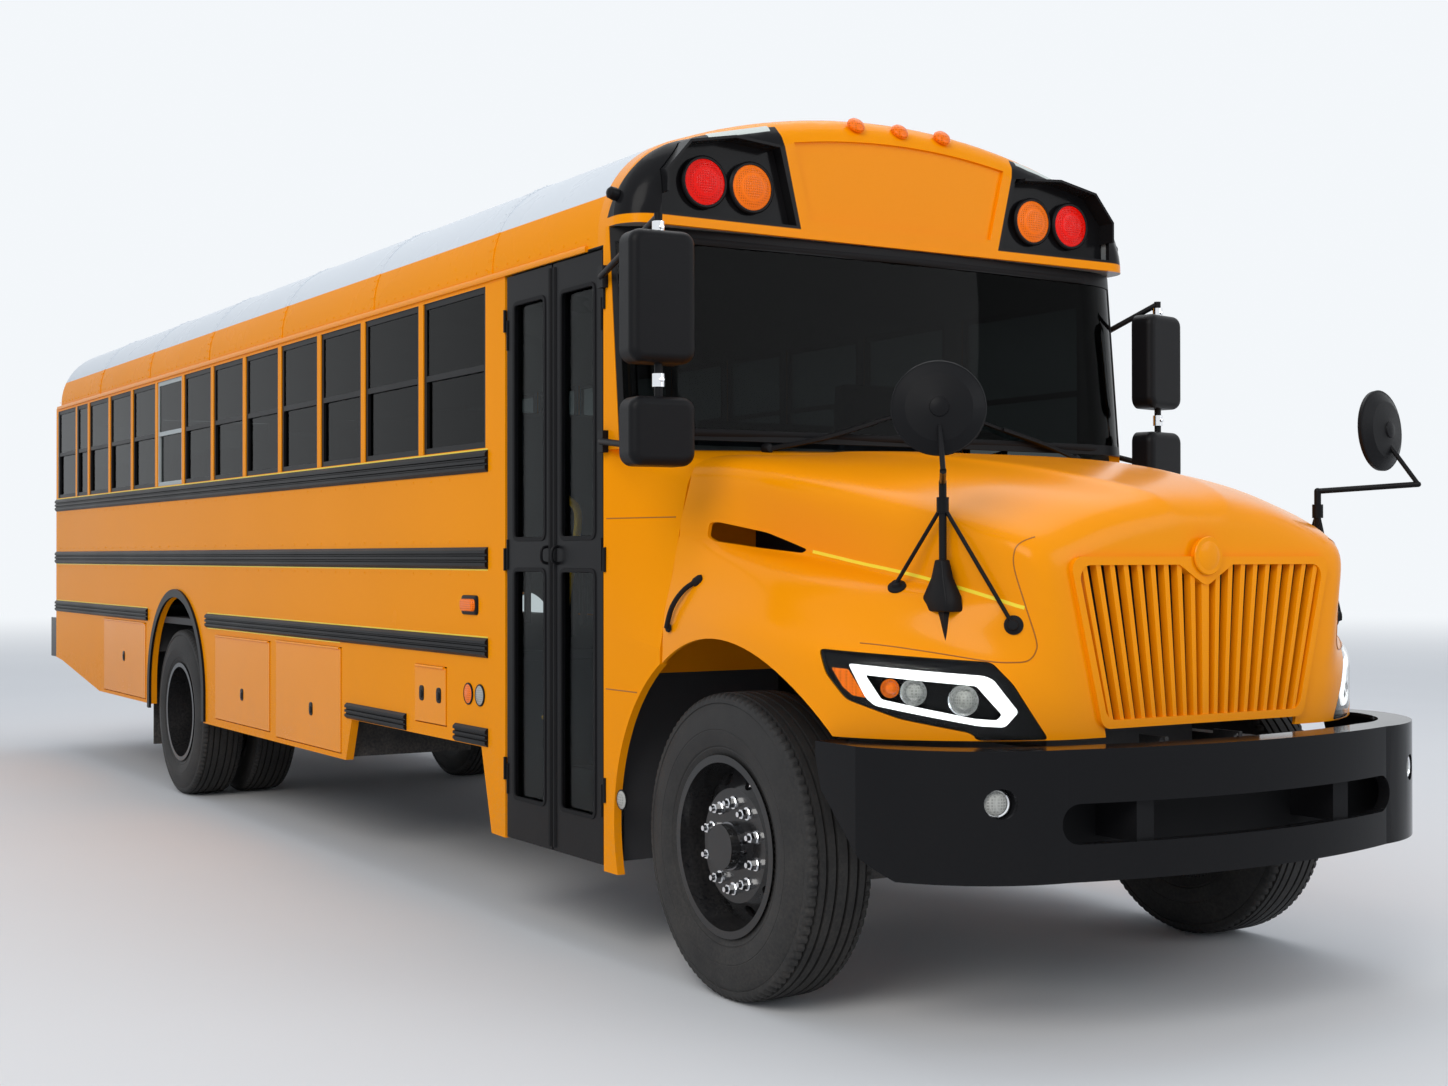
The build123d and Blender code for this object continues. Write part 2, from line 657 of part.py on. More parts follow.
def cowl_section(x, waist_y, waist_z, shoulder_y, shoulder_z, top_z, corner, inset=0):
    """(waist is where the side begins to lean in; the shoulder is rounded; the top is a flat arch)"""
    low = COWL_BOTTOM_Z - (50 if inset else 0)
    points = [(HALF - inset, low), (waist_y - inset, waist_z), (shoulder_y - inset, shoulder_z - inset)]
    lines = Line((-points[0][0], low), (points[0][0], low))
    lines += Line(points[0], points[1]) + Line(points[1], points[2])
    lines += ThreePointArc(points[2], (0, top_z - inset), (-points[2][0], points[2][1]))
    lines += Line((-points[2][0], points[2][1]), (-points[1][0], points[1][1]))
    lines += Line((-points[1][0], points[1][1]), (-points[0][0], low))
    face = make_face(lines)
    corners = face.vertices().filter_by(lambda v: v.Y > shoulder_z - inset - 1)
    face = fillet(corners, corner)
    return Plane(origin=(x, 0, 0), x_dir=(0, 1, 0), z_dir=(1, 0, 0)) * face


def cowl():
    rear = (HALF, 1150, HALF, 1890, 1890.5, 40)
    front = (1212, 1150, 1085, 1800, 1850, 120)
    front_x = COWL_FRONT_X - HOOD_SEAM
    outer = loft([cowl_section(DOOR_FRONT_X, *rear), cowl_section(front_x, *front)])
    inner = loft([cowl_section(DOOR_FRONT_X - 1, *rear, COWL_SKIN), cowl_section(front_x + 1, *front, COWL_SKIN)])
    arch = Pos(0, 0, FRONT_ARCH_Z) * Rot(90, 0, 0) * Cylinder(FRONT_ARCH_R, 3000)
    shell = outer - inner - arch
    shell += outer & slab(FIREWALL_X - FIREWALL_THICK, FIREWALL_X, -HALF, HALF, FLOOR_TOP_Z - FLOOR_THICK, EAVE_Z)
    lean = SCREEN_LEAN / (SCREEN_Z[1] - SCREEN_Z[0])
    foot_z = SCREEN_Z[0] - 20
    post = outline([(DOOR_FRONT_X, foot_z), (SCREEN_EDGE_X - 1, foot_z), (SCREEN_EDGE_X - 1, SCREEN_Z[0]),
                    (SCREEN_EDGE_X - 1 + SCREEN_LEAN, SCREEN_Z[1]), (A_POST_X, SCREEN_Z[1]),
                    (A_POST_X, EAVE_Z), (DOOR_FRONT_X, EAVE_Z)])
    for side in (-1, 1):
        shell += side_view(post, *sorted((side * (HALF - A_POST_DEPTH), side * HALF)))
    return shell


write("cowl", cowl())

# Hood: bonnet and both fenders in one moulding, open underneath and at the back
# each row: x, half width at shoulder, shoulder z, crown z, half width at foot, foot z, shoulder radius
BONNET = [(COWL_FRONT_X, 1075, 1800, 1850, 1120, 1150, 120),
          (300, 925, 1665, 1795, 990, 1000, 120),
          (NOSE_X - 50, 690, 1498, 1632, 640, 915, 120),
          (NOSE_X, 655, 1462, 1592, 605, 915, 120)]
# each row: x, seam y, seam z, ridge y, ridge z, outer y, outer z, foot z
FENDER = [(COWL_FRONT_X, 880, 1540, 1140, 1375, 1212, 1190, 930),
          (30, 880, 1480, 1120, 1310, 1212, 1215, 930),
          (480, 790, 1420, 1070, 1235, 1180, 1130, 915),
          (800, 660, 1370, 850, 1190, 975, 1090, 915),
          (NOSE_X - 20, 540, 1330, 600, 1140, 640, 1040, 915)]
HOOD_SHOULDER_R = 45
FENDER_ROOT = 250
HINGE_STRAPS = [(-145, -20), (68, 150)]
HINGE_STRAP_X = 975
HINGE_LUG_Y = (158, 172)
HINGE_LUG_REACH = 14
HINGE_PIN_HALF = HINGE_LUG_Y[1] + 4


def bonnet_face(x, shoulder_y, shoulder_z, crown_z, foot_y, foot_z, radius, inset=0):
    shoulder_y, foot_y = shoulder_y - inset, foot_y - inset
    shoulder_z, crown_z = shoulder_z - inset, crown_z - inset
    foot_z = foot_z - (60 if inset else 0)
    lines = Line((-foot_y, foot_z), (foot_y, foot_z)) + Line((foot_y, foot_z), (shoulder_y, shoulder_z))
    lines += ThreePointArc((shoulder_y, shoulder_z), (0, crown_z), (-shoulder_y, shoulder_z))
    lines += Line((-shoulder_y, shoulder_z), (-foot_y, foot_z))
    face = make_face(lines)
    face = fillet(face.vertices().filter_by(lambda v: v.Y > shoulder_z - 1), radius - inset)
    return end_plane(x) * face


def fender_face(x, seam_y, seam_z, ridge_y, ridge_z, outer_y, outer_z, foot_z, inset=0):
    drop = 60 if inset else 0
    inner_y = seam_y - FENDER_ROOT
    points = [(inner_y, foot_z - drop), (inner_y, seam_z - inset), (seam_y - inset * 0.4, seam_z - inset),
              (ridge_y - inset * 0.6, ridge_z - inset), (outer_y - inset, outer_z - inset * 0.5),
              (outer_y - inset, foot_z - drop)]
    face = outline(points)
    soft = [v for v in face.vertices() if v.Y < seam_z - inset - 1 and v.Y > foot_z + 60]
    face = fillet(soft, HOOD_SHOULDER_R)
    return end_plane(x) * face


def hood_volume(inset):
    bonnet_rows = [list(row) for row in BONNET]
    fender_rows = [list(row) for row in FENDER]
    if inset:
        bonnet_rows[0][0] -= 1
        bonnet_rows[-1][0] -= inset
        fender_rows[0][0] -= 1
        fender_rows[-1][0] -= inset
    volume = loft([bonnet_face(*row, inset) for row in bonnet_rows], ruled=True)
    fender = loft([fender_face(*row, inset) for row in fender_rows], ruled=True)
    return volume + fender + mirrored(fender)


HOOD_OUTER = hood_volume(0)

# Headlamps: each follows the hood's skin inside an outline that faces forward and outward
LAMP_FACE_OUTER = (400, -1120)
LAMP_FACE_INNER = (1000, -600)
LAMP_HOUSING = 40
LAMP_GAP = 3
LAMP_CORNER_R = 14
LAMP_REACH = 400
# along the lamp's face from its outer end, height
HEADLAMP_CORNERS = [(70, 1186), (600, 1150), (664, 1085), (764, 917), (560, 917), (541, 940), (332, 980),
                    (163, 1034), (96, 1110)]


def headlamp_prism(side, grow):
    """The lamp's outline pushed through the hood's skin, square to a line across its corner."""
    run = (Vector(*LAMP_FACE_INNER, 0) - Vector(*LAMP_FACE_OUTER, 0)).normalized()
    across = run.cross(Vector(0, 0, 1))
    face = fillet(outline(HEADLAMP_CORNERS).vertices(), LAMP_CORNER_R)
    face = offset(face, grow) if grow else face
    plane = Plane(origin=Vector(*LAMP_FACE_OUTER, 0) - across * LAMP_REACH, x_dir=run, z_dir=across)
    prism = extrude(plane * face, amount=2 * LAMP_REACH)
    return prism if side < 0 else mirrored(prism)


HEADLAMP_SKIN = HOOD_OUTER - hood_volume(LAMP_HOUSING)
write("headlamps", *[HEADLAMP_SKIN & headlamp_prism(side, 0) for side in (-1, 1)])

# Grille: bars that fan out behind a surround whose top rail dips in a V round a plain disc
GRILLE_DEPTH = 34
GRILLE_FRAME = 26
GRILLE_PROUD = 16
GRILLE_CORNER_R = 40
GRILLE_BACK_X = NOSE_X - 18
VEE_HALF = 118
VEE_Z = GRILLE_TOP_Z - 70
BADGE_R = 55
BADGE_Z = GRILLE_TOP_Z + 28
BADGE_THICK = 12


def grille_outline(grow):
    slope = (GRILLE_TOP_HALF - GRILLE_BOTTOM_HALF) / (GRILLE_TOP_Z - GRILLE_BOTTOM_Z)
    low, high = GRILLE_BOTTOM_Z - grow, GRILLE_TOP_Z + grow
    bottom = GRILLE_BOTTOM_HALF - slope * grow + grow
    top = GRILLE_TOP_HALF + slope * grow + grow
    face = outline([(-bottom, low), (bottom, low), (top, high), (-top, high)])
    return fillet(face.vertices(), GRILLE_CORNER_R)


def vee():
    """The dip in the top rail: two soft slopes down to a round foot."""
    top = GRILLE_TOP_Z + GRILLE_FRAME
    face = outline([(-VEE_HALF, top), (-VEE_HALF, GRILLE_TOP_Z), (0, VEE_Z), (VEE_HALF, GRILLE_TOP_Z),
                    (VEE_HALF, top)])
    return fillet(face.vertices().sort_by(Axis.Y)[0], GRILLE_CORNER_R)


def hood_pin(half, radius):
    return rod((HOOD_PIVOT_X, -half, HOOD_PIVOT_Z), (HOOD_PIVOT_X, half, HOOD_PIVOT_Z), radius)


def hood():
    shell = HOOD_OUTER - hood_volume(HOOD_SKIN)
    shell -= end_view(grille_outline(GRILLE_FRAME), NOSE_X - 100, NOSE_X + 50)
    arch = Pos(0, 0, FRONT_ARCH_Z) * Rot(90, 0, 0) * Cylinder(FRONT_ARCH_R, 3000)
    shell -= arch
    for side in (-1, 1):
        shell -= headlamp_prism(side, LAMP_GAP)
    pin = hood_pin(HINGE_PIN_HALF, HOOD_PIN_R)
    for y0, y1 in HINGE_STRAPS:
        shell += slab(HINGE_STRAP_X, NOSE_X, y0, y1, HOOD_PIVOT_Z - 22, GRILLE_BOTTOM_Z - GRILLE_FRAME)
    return shell + pin


write("hood", hood())


def grille():
    frame = grille_outline(GRILLE_FRAME) + vee() - (grille_outline(0) - vee())
    ring = end_view(frame, GRILLE_BACK_X, NOSE_X + GRILLE_PROUD)
    count = 2 * GRILLE_BARS + 1
    for index in range(count):
        share = (index + 0.5) / count * 2 - 1
        width = GRILLE_BAR * (1.7 if index == GRILLE_BARS else 1)
        foot, head = share * GRILLE_BOTTOM_HALF, share * GRILLE_TOP_HALF
        bar = outline([(foot - width * 0.4, GRILLE_BOTTOM_Z - 8), (foot + width * 0.4, GRILLE_BOTTOM_Z - 8),
                       (head + width / 2, GRILLE_TOP_Z + 8), (head - width / 2, GRILLE_TOP_Z + 8)])
        ring += end_view(bar, GRILLE_BACK_X, GRILLE_BACK_X + GRILLE_DEPTH - 6)
    return ring + end_view(Pos(0, BADGE_Z) * Circle(BADGE_R), NOSE_X, NOSE_X + GRILLE_PROUD + BADGE_THICK)


write("grille", grille())

# Engine, radiator and chassis
# rear x, front x, half width, bottom z, top z
ENGINE_BLOCK = (-480, 640, 330, 640, 1480)
GEARBOX = (-1300, -480, 220, 610, 1000)
RADIATOR = (800, 880, 400, 930, 1440)


def centred_block(rear, front, half_wide, low, high):
    return slab(rear, front, -half_wide, half_wide, low, high)


write("engine", centred_block(*ENGINE_BLOCK) + centred_block(*GEARBOX), centred_block(*RADIATOR))


def channel(side):
    """One frame rail: a C channel with its flanges inwards."""
    outer, inner = side * (RAIL_Y + RAIL_WIDTH / 2), side * (RAIL_Y - RAIL_WIDTH / 2)
    low, high = RAIL_TOP_Z - RAIL_DEPTH, RAIL_TOP_Z
    step = side * RAIL_WEB
    points = [(outer, low), (inner, low), (inner, low + RAIL_WEB), (outer - step, low + RAIL_WEB),
              (outer - step, high - RAIL_WEB), (inner, high - RAIL_WEB), (inner, high), (outer, high)]
    return end_view(outline(points), RAIL_REAR_X, RAIL_FRONT_X)


CROSS_MEMBERS_X = [900, -1500, -3300, -5000, -7900, -9600]


def frame_rails():
    rails = channel(-1) + channel(1)
    reach = RAIL_Y + RAIL_WIDTH / 2 - RAIL_WEB
    for x in CROSS_MEMBERS_X:
        rails += slab(x - 40, x + 40, -reach, reach, RAIL_TOP_Z - 105, RAIL_TOP_Z - RAIL_WEB)
    lug = box_face(CROSS_MEMBERS_X[0], HOOD_PIVOT_X + HINGE_LUG_REACH, RAIL_TOP_Z - 90,
                   HOOD_PIVOT_Z + HINGE_LUG_REACH)
    for side in (-1, 1):
        rails += side_view(lug, *sorted(side * y for y in HINGE_LUG_Y))
    return rails - hood_pin(RAIL_Y, HOOD_PIN_R + PIN_CLEARANCE)


write("frame_rails", frame_rails())

AXLE_Z = TYRE_R
FRONT_BEAM_Z = 400
AXLE_EYE_R = 50


def front_axle():
    """A dropped I-beam with an eye for the kingpin at each end."""
    end = KINGPIN_Y - AXLE_EYE_R + 10
    web = [(-end, AXLE_Z + 50), (-end, AXLE_Z - 50), (-620, FRONT_BEAM_Z - 45), (620, FRONT_BEAM_Z - 45),
           (end, AXLE_Z - 50), (end, AXLE_Z + 50), (600, FRONT_BEAM_Z + 55), (-600, FRONT_BEAM_Z + 55)]
    beam = end_view(outline(web), -45, 45)
    for side in (-1, 1):
        beam += Pos(0, side * KINGPIN_Y, AXLE_Z) * Cylinder(AXLE_EYE_R, 110)
        beam -= Pos(0, side * KINGPIN_Y, AXLE_Z) * Cylinder(KINGPIN_R + 0.3, 200)
    return beam


write("front_axle", front_axle())


def rear_axle():
    """Housing tube with the differential's round case in the middle."""
    tube = Pos(REAR_AXLE_X, 0, AXLE_Z) * Rot(90, 0, 0) * Cylinder(65, 1180)
    case = Pos(REAR_AXLE_X, 0, AXLE_Z) * Rot(0, 90, 0) * Cylinder(190, 190)
    nose = rod((REAR_AXLE_X + 60, 0, AXLE_Z), (REAR_AXLE_X + 330, 0, AXLE_Z + 25), 90)
    shaft = rod((-1304, 0, 690), (REAR_AXLE_X + 300, 0, AXLE_Z + 25), 50)
    return tube + fillet(case.edges(), 50) + nose + shaft


write("rear_axle", rear_axle())


def leaf_spring(x_axle, half_length, y, z_axle, thick):
    """A pack of leaves, arched down at the axle, with an eye at each end."""
    end_z = RAIL_TOP_Z - RAIL_DEPTH - 40
    dip = z_axle
    outer = ThreePointArc((x_axle - half_length, end_z), (x_axle, dip), (x_axle + half_length, end_z))
    eye_z = end_z + LEAF_THICK
    inner = ThreePointArc((x_axle + half_length, eye_z), (x_axle, dip + thick), (x_axle - half_length, eye_z))
    lines = outer + inner + Line((x_axle + half_length, end_z), (x_axle + half_length, eye_z))
    lines += Line((x_axle - half_length, end_z), (x_axle - half_length, eye_z))
    near, far = y - SPRING_WIDTH / 2, y + SPRING_WIDTH / 2
    leaf = side_view(make_face(lines), near, far)
    for sign in (-1, 1):
        x = x_axle + sign * half_length
        leaf += slab(x - 30, x + 30, near, far, end_z - 8, RAIL_TOP_Z - RAIL_DEPTH)
    return leaf


def springs():
    found = []
    for side in (-1, 1):
        found.append(leaf_spring(0, 620, side * RAIL_Y, FRONT_BEAM_Z + 55, 50))
        found.append(leaf_spring(REAR_AXLE_X, 680, side * RAIL_Y, AXLE_Z + 65, 20))
    return found


write("leaf_springs", *springs())

# Exhaust, fuel tank and mud flaps
EXHAUST_Y = -250
EXHAUST_Z = 560
SILENCER_X = (-2700, -1700)
SILENCER_R = 120
EXHAUST_PIPE_R = 55
TANK_X = (-4900, -3600)
TANK_Z = (480, 980)
TANK_GAP = 60
FLAP_X = REAR_AXLE_X - 690
FLAP_THICK = 12
FLAP_Y = (600, HALF - WALL - 6)
FLAP_Z = (250, 900)


def exhaust():
    rear, front = SILENCER_X
    system = rod((front, EXHAUST_Y, EXHAUST_Z), (rear, EXHAUST_Y, EXHAUST_Z), SILENCER_R)
    system += rod((rear, EXHAUST_Y, EXHAUST_Z), (rear - 600, EXHAUST_Y, EXHAUST_Z), EXHAUST_PIPE_R)
    return system + rod((front + 300, EXHAUST_Y, EXHAUST_Z + 40), (front, EXHAUST_Y, EXHAUST_Z), EXHAUST_PIPE_R)


write("exhaust", exhaust())
write("fuel_tank", slab(*TANK_X, RAIL_Y + RAIL_WIDTH / 2, HALF - WALL - TANK_GAP, *TANK_Z))
write("mud_flaps", *[slab(FLAP_X, FLAP_X + FLAP_THICK, *sorted((side * y for y in FLAP_Y)), *FLAP_Z)
                     for side in (-1, 1)])

# Front bumper: a skin bowed in plan with round corners, a top lip, a wide mouth and two lamp cups
BUMPER_HALF = 1170
BUMPER_MID_X = FRONT_REACH
BUMPER_CORNER = (1152, 700)
BUMPER_BEND = (1032, 985)
BUMPER_SIDE_X = 740
BUMPER_END_X = 530
BUMPER_LIP = 12
BUMPER_LIP_DEPTH = 70
MOUTH = (1440, 120, 685)
FOG_LAMP = (900, 752, 44)


def bumper_curve(inset):
    """The bumper's face in plan: a shallow arc, round corners and short straight sides."""
    corner_x, corner_y = BUMPER_CORNER[0] - inset, BUMPER_CORNER[1]
    bend_x, bend_y = BUMPER_BEND[0] - inset * 0.75, BUMPER_BEND[1] - inset * 0.6
    side_y = BUMPER_HALF - inset
    lines = Line((BUMPER_END_X, -side_y), (BUMPER_SIDE_X, -side_y))
    lines += ThreePointArc((BUMPER_SIDE_X, -side_y), (bend_x, -bend_y), (corner_x, -corner_y))
    lines += ThreePointArc((corner_x, -corner_y), (BUMPER_MID_X - inset, 0), (corner_x, corner_y))
    lines += ThreePointArc((corner_x, corner_y), (bend_x, bend_y), (BUMPER_SIDE_X, side_y))
    lines += Line((BUMPER_SIDE_X, side_y), (BUMPER_END_X, side_y))
    lines += Line((BUMPER_END_X, side_y), (BUMPER_END_X, -side_y))
    return make_face(lines)


def front_bumper():
    band = plan_view(bumper_curve(0) - bumper_curve(BUMPER_SKIN), BUMPER_BOTTOM_Z, BUMPER_TOP_Z)
    band += plan_view(bumper_curve(BUMPER_SKIN / 2) - bumper_curve(BUMPER_LIP_DEPTH + BUMPER_SKIN),
                      BUMPER_TOP_Z - BUMPER_LIP, BUMPER_TOP_Z)
    low, high = BUMPER_BOTTOM_Z - 1, BUMPER_TOP_Z - 3 * BUMPER_LIP
    under = outline([(BUMPER_END_X - 5, high), (560, 758), (754, 571), (870, low), (400, low), (400, high)])
    band -= side_view(under, -2000, 2000)
    mouth_long, mouth_tall, mouth_z = MOUTH
    mouth = Pos(0, mouth_z) * RectangleRounded(mouth_long, mouth_tall, mouth_tall / 2 - 1)
    band -= end_view(mouth, 800, 1400)
    fog_y, fog_z, fog_r = FOG_LAMP
    for side in (-1, 1):
        band -= end_view(Pos(side * fog_y, fog_z) * Circle(fog_r), 900, 1400)
        band += slab(RAIL_FRONT_X, BUMPER_MID_X - 60, *sorted((side * 395, side * 465)), 620, 850)
    return band


write("front_bumper", front_bumper())


def rear_bumper():
    beam = slab(-REAR_REACH, -REAR_REACH + 60, -HALF + 10, HALF - 10, *REAR_BUMPER_Z)
    for side in (-1, 1):
        beam += slab(-REAR_REACH + 60, RAIL_REAR_X, *sorted((side * 395, side * 465)), 720, 840)
        edges = sorted((side * (HALF - 30), side * (HALF - 10)))
        beam += slab(-REAR_REACH + 60, BODY_REAR_X - 4, *edges, *REAR_BUMPER_Z)
    return beam


write("rear_bumper", rear_bumper())

# Tow eyes at the back, a plate bolted to the end of each rail
TOW_EYE_R = 22
TOW_PLATE = 24
TOW_EYE_X = -9815
TOW_EYE_Z = 600
TOW_EYE_Y = RAIL_Y + RAIL_WIDTH / 2 + TOW_PLATE / 2
TOW_EYE_EDGE = 50


def tow_eye(side):
    ring = Pos(TOW_EYE_X, TOW_EYE_Z) * Circle(TOW_EYE_EDGE)
    plate = box_face(RAIL_REAR_X, RAIL_REAR_X + 260, RAIL_TOP_Z - RAIL_DEPTH, RAIL_TOP_Z - 60)
    profile = make_hull(ring.edges() + plate.edges()) - Pos(TOW_EYE_X, TOW_EYE_Z) * Circle(TOW_EYE_R)
    near, far = sorted((side * (TOW_EYE_Y - TOW_PLATE / 2), side * (TOW_EYE_Y + TOW_PLATE / 2)))
    return side_view(profile, near, far)


write("tow_eyes", tow_eye(-1), tow_eye(1))

# Tyres are drawn with flats all round, so that each stands on one; wheels are spun
RIM_HALF = TYRE_WIDTH * 0.4
FLANGE_FIT = 0.5


def flats(radius, out):
    """A many-sided outline round the axle, with a flat facing down."""
    face = RegularPolygon(radius, TYRE_FLATS, major_radius=False, rotation=180 / TYRE_FLATS)
    return Plane(origin=(0, out, 0), x_dir=(1, 0, 0), z_dir=(0, 1, 0)) * face


def tyre(side, x, y):
    half, tread_half = TYRE_WIDTH / 2, TYRE_WIDTH / 2 - TYRE_SHOULDER * 0.7
    shoulder_r = TYRE_R - TYRE_SHOULDER
    ring = loft([flats(shoulder_r, -half), flats(TYRE_R, -tread_half), flats(TYRE_R, tread_half),
                 flats(shoulder_r, half)], ruled=True)
    ring -= extrude(flats(TYRE_BEAD_R, -half - 1), TYRE_WIDTH + 2)
    flange_seat = flats(RIM_FLANGE_R + FLANGE_FIT, side * (RIM_HALF - FLANGE_FIT))
    ring -= extrude(flange_seat, side * (half - RIM_HALF + 2))
    return Pos(x, side * y, AXLE_Z) * ring


RIM_R = TYRE_BEAD_R - 0.5
DISC_FLAT_R = 190
DISC_THICK = 12
HUB_R = 75
TWIN_HUB_R = HUB_R + 5


def rim_profile(dish):
    """The rim's barrel and its disc; dish is how far the disc stands outward of the tyre's middle."""
    flange = RIM_HALF + 16
    return [(RIM_R, -RIM_HALF), (RIM_R, RIM_HALF), (RIM_FLANGE_R, flange), (RIM_R - 14, flange),
            (RIM_R - 32, dish * 0.5), (DISC_FLAT_R, dish + DISC_THICK), (HUB_R - 15, dish + DISC_THICK),
            (HUB_R - 15, dish), (DISC_FLAT_R - 6, dish), (RIM_R - 34, dish * 0.5 - 14),
            (RIM_R - 18, -RIM_HALF)]


def wheel(dish, x, y, side):
    disc = turned(rim_profile(dish), 0, 0, 0, side)
    hole = Rot(90, 0, 0) * Cylinder(HAND_HOLE_R, 2 * TYRE_WIDTH)
    turns = [360 * place / HAND_HOLES for place in range(HAND_HOLES)]
    disc -= [Rot(0, turn, 0) * Pos(HAND_HOLE_CIRCLE, 0, 0) * hole for turn in turns]
    return Pos(x, side * y, AXLE_Z) * disc


def knuckle(side):
    """The kingpin with its fork round the beam's eye, the brake drum and the stub axle."""
    y = side * KINGPIN_Y
    body = Pos(0, y, AXLE_Z) * Cylinder(KINGPIN_R, 190)
    for up in (-1, 1):
        body += Pos(0, y, AXLE_Z + up * 80) * Cylinder(50, 40)
        body += slab(-45, 45, *sorted((y, y + side * 80)), AXLE_Z + up * 80 - 20, AXLE_Z + up * 80 + 20)
    body += slab(-60, 60, *sorted((y + side * 58, y + side * 85)), AXLE_Z - 100, AXLE_Z + 100)
    body += Pos(0, y + side * 120, AXLE_Z) * Rot(90, 0, 0) * Cylinder(190, 80)
    body += Pos(0, y + side * 170, AXLE_Z) * Rot(90, 0, 0) * Cylinder(42, 50)
    return body


FRONT_TYRE_Y = FRONT_TYRE_FACE_Y - TYRE_WIDTH / 2
REAR_OUTER_Y = REAR_TYRE_FACE_Y - TYRE_WIDTH / 2
REAR_INNER_Y = REAR_OUTER_Y - TWIN_SPACING

for side, word in ((-1, "right"), (1, "left")):
    write(f"tyre_front_{word}", tyre(side, 0, FRONT_TYRE_Y))
    front_hub = Pos(0, side * (FRONT_TYRE_Y + 85), AXLE_Z) * Rot(90, 0, 0) * Cylinder(HUB_R, 110)
    write(f"wheel_front_{word}", wheel(70, 0, FRONT_TYRE_Y, side) + front_hub)
    write(f"tyres_rear_{word}", tyre(side, REAR_AXLE_X, REAR_OUTER_Y), tyre(side, REAR_AXLE_X, REAR_INNER_Y))
    twin_hub = Pos(REAR_AXLE_X, side * (REAR_OUTER_Y - 130), AXLE_Z) * Rot(90, 0, 0) * Cylinder(TWIN_HUB_R, 300)
    twins = wheel(-75, REAR_AXLE_X, REAR_OUTER_Y, side) + wheel(75, REAR_AXLE_X, REAR_INNER_Y, side)
    write(f"wheels_rear_{word}", twins + twin_hub)
    write(f"steering_knuckle_{word}", knuckle(side))

# Entrance door: two leaves hinged at the outer posts
DOOR_MID_X = (DOOR_REAR_X + DOOR_FRONT_X) / 2
DOOR_PIN_R = 6
DOOR_PIN_HEIGHTS = [(520, 640), (1420, 1540), (2300, 2420)]


def leaf_panes(x0, x1):
    return [(x0 + STILE, x1 - STILE, DOOR_MID_RAIL_Z + 60, DOOR_HEAD_Z - 120),
            (x0 + STILE, x1 - STILE, DOOR_SILL_Z + 170, DOOR_MID_RAIL_Z - 60)]


# leaf, rear x, front x, hinge pin x
LEAVES = [("rear", DOOR_REAR_X + DOOR_GAP, DOOR_MID_X - DOOR_GAP, DOOR_REAR_X + DOOR_GAP + DOOR_PIN_R),
          ("front", DOOR_MID_X + DOOR_GAP, DOOR_FRONT_X - DOOR_GAP, DOOR_FRONT_X - DOOR_GAP - DOOR_PIN_R)]
for word, x0, x1, pin_x in LEAVES:
    leaf = box_face(x0, x1, DOOR_SILL_Z + DOOR_GAP, DOOR_HEAD_Z - DOOR_GAP)
    glass = []
    for a, b, c, d in leaf_panes(x0, x1):
        leaf -= box_face(a, b, c, d)
        glass.append(side_view(box_face(a + 1, b - 1, c + 1, d - 1), -HALF + 18, -HALF + 18 + GLASS_THICK))
    leaf = side_view(leaf, -HALF, -HALF + DOOR_THICK)
    for low, high in DOOR_PIN_HEIGHTS:
        leaf += rod((pin_x, -HALF, low), (pin_x, -HALF, high), DOOR_PIN_R)
    write(f"entrance_door_{word}", leaf)
    write(f"entrance_door_glass_{word}", *glass)

# Seats: high-backed benches for the children in rows, and the driver's seat on its pedestal
SEAT_PITCH = 700
SEAT_ROWS = 11
SEAT_WIDTH = 960
SEAT_FIRST_X = -2050
SEAT_WALL_GAP = 20
SEAT_LOW_Z = FLOOR_TOP_Z + 330
CUSHION_LENGTH = 380
CUSHION_THICK = 110
BACK_GAP = 5
BACK_THICK = 95
BACK_HEIGHT = 710
SEAT_SOFT_R = 40
BACK_CORNER_R = 80
BACK_EDGE_R = 30
LEG = 30
LEG_INSET = 60
seat_y = HALF - WALL - SEAT_WALL_GAP - SEAT_WIDTH / 2


def bench(width, length, height):
    """A cushion and an upright back with rounded edges, its front edge at the origin."""
    cushion = slab(-length, 0, -width / 2, width / 2, 0, CUSHION_THICK)
    cushion = fillet(cushion.edges().filter_by(Axis.Y).sort_by(Axis.X)[-2:], SEAT_SOFT_R)
    rear = -length - BACK_GAP
    back = slab(rear - BACK_THICK, rear, -width / 2, width / 2, 0, height)
    back = fillet(back.edges().filter_by(Axis.X).sort_by(Axis.Z)[-2:], BACK_CORNER_R)
    faces = back.faces().filter_by(Axis.X)
    back = fillet([edge for edge in faces.edges() if edge.center().Z > 0.1], BACK_EDGE_R)
    return cushion, back


bench_cushion, bench_back = bench(SEAT_WIDTH, CUSHION_LENGTH, BACK_HEIGHT)
cushions, backs, stands = [], [], []
for row in range(SEAT_ROWS):
    for side in (-1, 1):
        x = SEAT_FIRST_X - row * SEAT_PITCH
        cushions.append(Pos(x, side * seat_y, SEAT_LOW_Z) * bench_cushion)
        backs.append(Pos(x, side * seat_y, SEAT_LOW_Z) * bench_back)
        aisle_y = side * (seat_y - SEAT_WIDTH / 2 + LEG_INSET)
        wall_y = side * (HALF - WALL)
        for leg_x in (x - LEG_INSET, x - CUSHION_LENGTH + LEG_INSET):
            stands.append(slab(leg_x - LEG, leg_x, aisle_y, aisle_y + side * LEG, FLOOR_TOP_Z, SEAT_LOW_Z))
        ledge_y = wall_y - side * 3 * LEG
        stands.append(slab(x - CUSHION_LENGTH, x, wall_y, ledge_y, SEAT_LOW_Z - LEG, SEAT_LOW_Z))
DRIVER_SEAT_X = -1500
DRIVER_SEAT_Y = 620
DRIVER_SEAT_WIDTH = 480
driver_cushion, driver_back = bench(DRIVER_SEAT_WIDTH, 465, 840)
